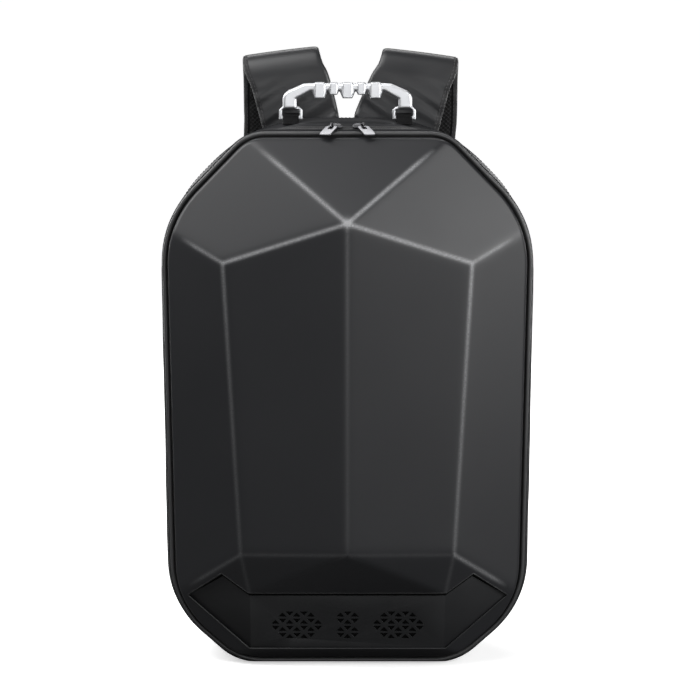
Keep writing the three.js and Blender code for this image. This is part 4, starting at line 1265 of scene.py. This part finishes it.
# %% [markdown]
# ## Buckles and webbing
# Under each pad hangs a plastic ladder buckle, and webbing runs from it to a cloth tab at the foot of the bag. The
# buckle keeps its CAD shape with broken edges. The webbing is a flat band that turns round the buckle's bar, with
# both legs sewn together below it, so its path starts at the short leg and ends at the tab. The tab is doubled
# cloth, and its lower edge bends over the edge of the back pad into the seam.

# %% Buckle frame and webbing paths
BUCKLE_PLACE, BUCKLE_SIDE, BUCKLE_BACK = np.array([89.2, 94.2, 144.0]), -10.0, -7.0
BUCKLE_BEVEL, BUCKLE_SEGMENTS = 0.8, 3
BAR_REACH, BAND_ROUND, BAND_WIDTH, BAND_THICK, BAND_SAMPLES = 11.2, 4.15, 25.0, 1.6, 110
LOWER_RUN = [
    # x, y, z from below the buckle to the right tab
    (95.2, 89.2, 112), (101.5, 81.4, 92), (110, 71.6, 70), (117.5, 64.6, 51), (121, 62.8, 42), (123.6, 62.3, 35),
]
# y and z of the legs of the band round each bar, in the buckle's own frame
LEGS_DOWN = [(1.6, -38), (1.7, -33), (3.4, -20)]
LEGS_UP = [(1.7, 25), (2.6, 20), (3.7, 15)]
TURN = Matrix.Rotation(math.radians(BUCKLE_BACK), 3, "X") @ Matrix.Rotation(math.radians(BUCKLE_SIDE), 3, "Y")


def from_buckle(y, z):
    """A place in the buckle's own frame, in the bag's."""
    return BUCKLE_PLACE + np.array(TURN @ Vector((0.0, y, z)))


def round_bar(way, legs, ends):
    """Path of a band round one bar: leg, turn and the other leg; way is the bar's side of the buckle."""
    half_turn = np.linspace(0, math.pi, TURN_POINTS)
    arc = [(BAND_ROUND * math.cos(a), way * (BAR_REACH - BAND_ROUND * math.sin(a))) for a in half_turn]
    back_legs = [(-y, z) for y, z in reversed(legs)][:ends]
    return [from_buckle(y, z) for y, z in legs + arc + back_legs]


def band_piece(name, path, side, node):
    """Webbing along a path, mirrored for the left side."""
    path = smooth_path(path, BAND_SAMPLES)
    wide = np.tile(np.array(TURN @ Vector((1.0, 0.0, 0.0))), (len(path), 1))
    band = flat_band(path * (side, 1, 1), wide * (side, 1, 1), BAND_WIDTH, BAND_THICK)
    make_piece(name, band, [WEBBING_CLOTH], node)


for side, label in SIDES:
    band_piece(f"webbing_{label}", round_bar(-1, LEGS_DOWN, 1) + LOWER_RUN, side, f"strap_webbing_{label}")
    band_piece(f"buckle_webbing_{label}", round_bar(1, LEGS_UP, 3), side, f"buckle_loop_{label}")
    soften(f"strap_buckle_{label}", BUCKLE_PLASTIC, BUCKLE_BEVEL, BUCKLE_SEGMENTS)
print("webbing", BAND_WIDTH, "mm wide")

# %% Tabs at the foot
TAB_OUTLINE = [(92, 41), (119.5, 18), (139.5, 33.5), (136, 44), (112, 52)]
TAB_Y, TAB_THICK, TAB_SEAM, TAB_STEP = 58.4, 2.6, 3.2, 3.0
TAB_RINGS = [
    # height over the pad, inset from the tab's edge, share of the way out from its middle
    (0.0, 0.6, 0.35), (0.0, 0.6, 0.7), (0.0, 0.6, 1.0), (0.5, 0.0, 1.0), (2.1, 0.0, 1.0), (2.6, 0.7, 1.0),
    (2.6, 2.5, 1.0), (2.35, TAB_SEAM, 1.0), (2.6, 4.2, 1.0), (2.6, 4.2, 0.7), (2.6, 4.2, 0.35),
]
CORNER_WAY, TAB_BEND_FROM, TAB_BEND = np.array([0.598, -0.802]), 47.0, 0.11


def cloth_tab(side, label):
    """A doubled cloth tab with a soft edge, bent over the pad's edge towards the seam."""
    corners = np.array(TAB_OUTLINE, float)
    middle = corners.mean(0)
    edge = walked(corners, TAB_STEP)

    def ring(height, inset, share):
        flat = middle + (edge - unit(edge - middle) * inset - middle) * share
        bend = TAB_BEND * np.maximum(flat @ CORNER_WAY - TAB_BEND_FROM, 0) ** 2
        return np.column_stack([flat[:, 0] * side, TAB_Y + height - bend, flat[:, 1]])

    tab = loft([ring(*row) for row in TAB_RINGS], capped=True)
    make_piece(f"foot_tab_{label}", tab, [GUSSET_CLOTH], f"strap_anchor_{label}")
    stitch_row(f"foot_tab_stitches_{label}", [closed(ring(TAB_THICK, TAB_SEAM, 1.0))])


for side, label in SIDES:
    cloth_tab(side, label)
print("foot tabs", TAB_THICK, "mm thick")

# %% [markdown]
# ## Back panel
# The side that lies on the back is a foam pad under air mesh, with two sewn channels. Foam under cloth bulges
# between its seams, and Blender's cloth does this well: the CAD solid is remeshed, blown up with a little pressure
# and no gravity, and held to a few millimetres of travel away from the bag, so that its edge stays behind the
# cloth side. The channels are pressed in afterwards.

# %% Padded back
PAD_VOXEL, PAD_PRESSURE, PAD_FRAMES, PAD_TRAVEL = 5.0, 4.0, 20, 4.0
PAD_FRONT, PAD_SLIM = 44.5, 0.7
PAD_SEWN, PAD_HOLD_X, BULGE_WAY = 51.0, 148.0, (0.0, 1.0, 0.0)
CHANNELS_X, CHANNEL_DEPTH, CHANNEL_HALF = (-26.0, 26.0), 5.0, 6.0
CHANNEL_LOW, CHANNEL_HIGH, CHANNEL_END, CHANNEL_FROM = 50.0, 400.0, 20.0, 48.5


def blown_up(piece):
    """Runs the cloth with pressure and keeps the result, with its travel held."""
    start = points_of(piece.data)
    sewn = piece.vertex_groups.new(name="sewn_edge")
    held = np.flatnonzero((start[:, 1] < PAD_SEWN) | (np.abs(start[:, 0]) > PAD_HOLD_X)).tolist()
    sewn.add(held, 1.0, "REPLACE")
    cloth = piece.modifiers.new("foam", "CLOTH")
    cloth.settings.vertex_group_mass = sewn.name
    cloth.settings.use_pressure = True
    cloth.settings.uniform_pressure_force = PAD_PRESSURE
    cloth.settings.effector_weights.gravity = 0.0
    for step in range(1, PAD_FRAMES + 1):
        scene.frame_set(step)
    found = piece.evaluated_get(bpy.context.evaluated_depsgraph_get()).to_mesh()
    moved = (points_of(found) - start) * BULGE_WAY
    piece.modifiers.remove(cloth)
    scene.frame_set(1)
    far = np.linalg.norm(moved, axis=1, keepdims=True)
    put_points(piece.data, start + moved * np.minimum(1.0, PAD_TRAVEL / np.maximum(far, 1e-6)))
    return float(far.max())


def press_channels(piece):
    """Sews the channels into the pad's outer side."""
    spots = points_of(piece.data)
    outer = spots[:, 1] > CHANNEL_FROM
    from_end = np.minimum(spots[:, 2] - CHANNEL_LOW, CHANNEL_HIGH - spots[:, 2])
    ends = np.clip(from_end / CHANNEL_END, 0, 1)
    for x in CHANNELS_X:
        press = np.exp(-(((spots[:, 0] - x) / CHANNEL_HALF) ** 2)) * ends * outer
        spots[:, 1] -= CHANNEL_DEPTH * press
    put_points(piece.data, spots)


def flat_uvs(mesh):
    """UVs in millimetres, straight from the back."""
    layer = mesh.uv_layers.new(name="cloth_mm")
    spots = points_of(mesh)
    corners = np.empty(len(mesh.loops), np.int32)
    mesh.loops.foreach_get("vertex_index", corners)
    layer.uv.foreach_set("vector", spots[corners][:, [0, 2]].astype(np.float32).ravel())


def padded_back():
    """The pad, from the CAD solid made slimmer, and how far the pressure moved it."""
    pad = voxel_copy("back_panel", "padded_back", BACK_MESH, PAD_VOXEL)
    spots = points_of(pad.data)
    spots[:, 1] = PAD_FRONT + (spots[:, 1] - PAD_FRONT) * PAD_SLIM
    put_points(pad.data, spots)
    evaluated(pad)
    travel = blown_up(pad)
    finer = pad.modifiers.new("finer", "SUBSURF")
    finer.levels = finer.render_levels = 1
    evaluated(pad)
    press_channels(pad)
    flat_uvs(pad.data)
    pad.data.shade_smooth()
    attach(pad, "bag")
    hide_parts("back_panel")
    return pad, travel


pad, travel = padded_back()
print("back pad", len(pad.data.polygons), "faces, pressure moved it", round(travel, 1), "mm")
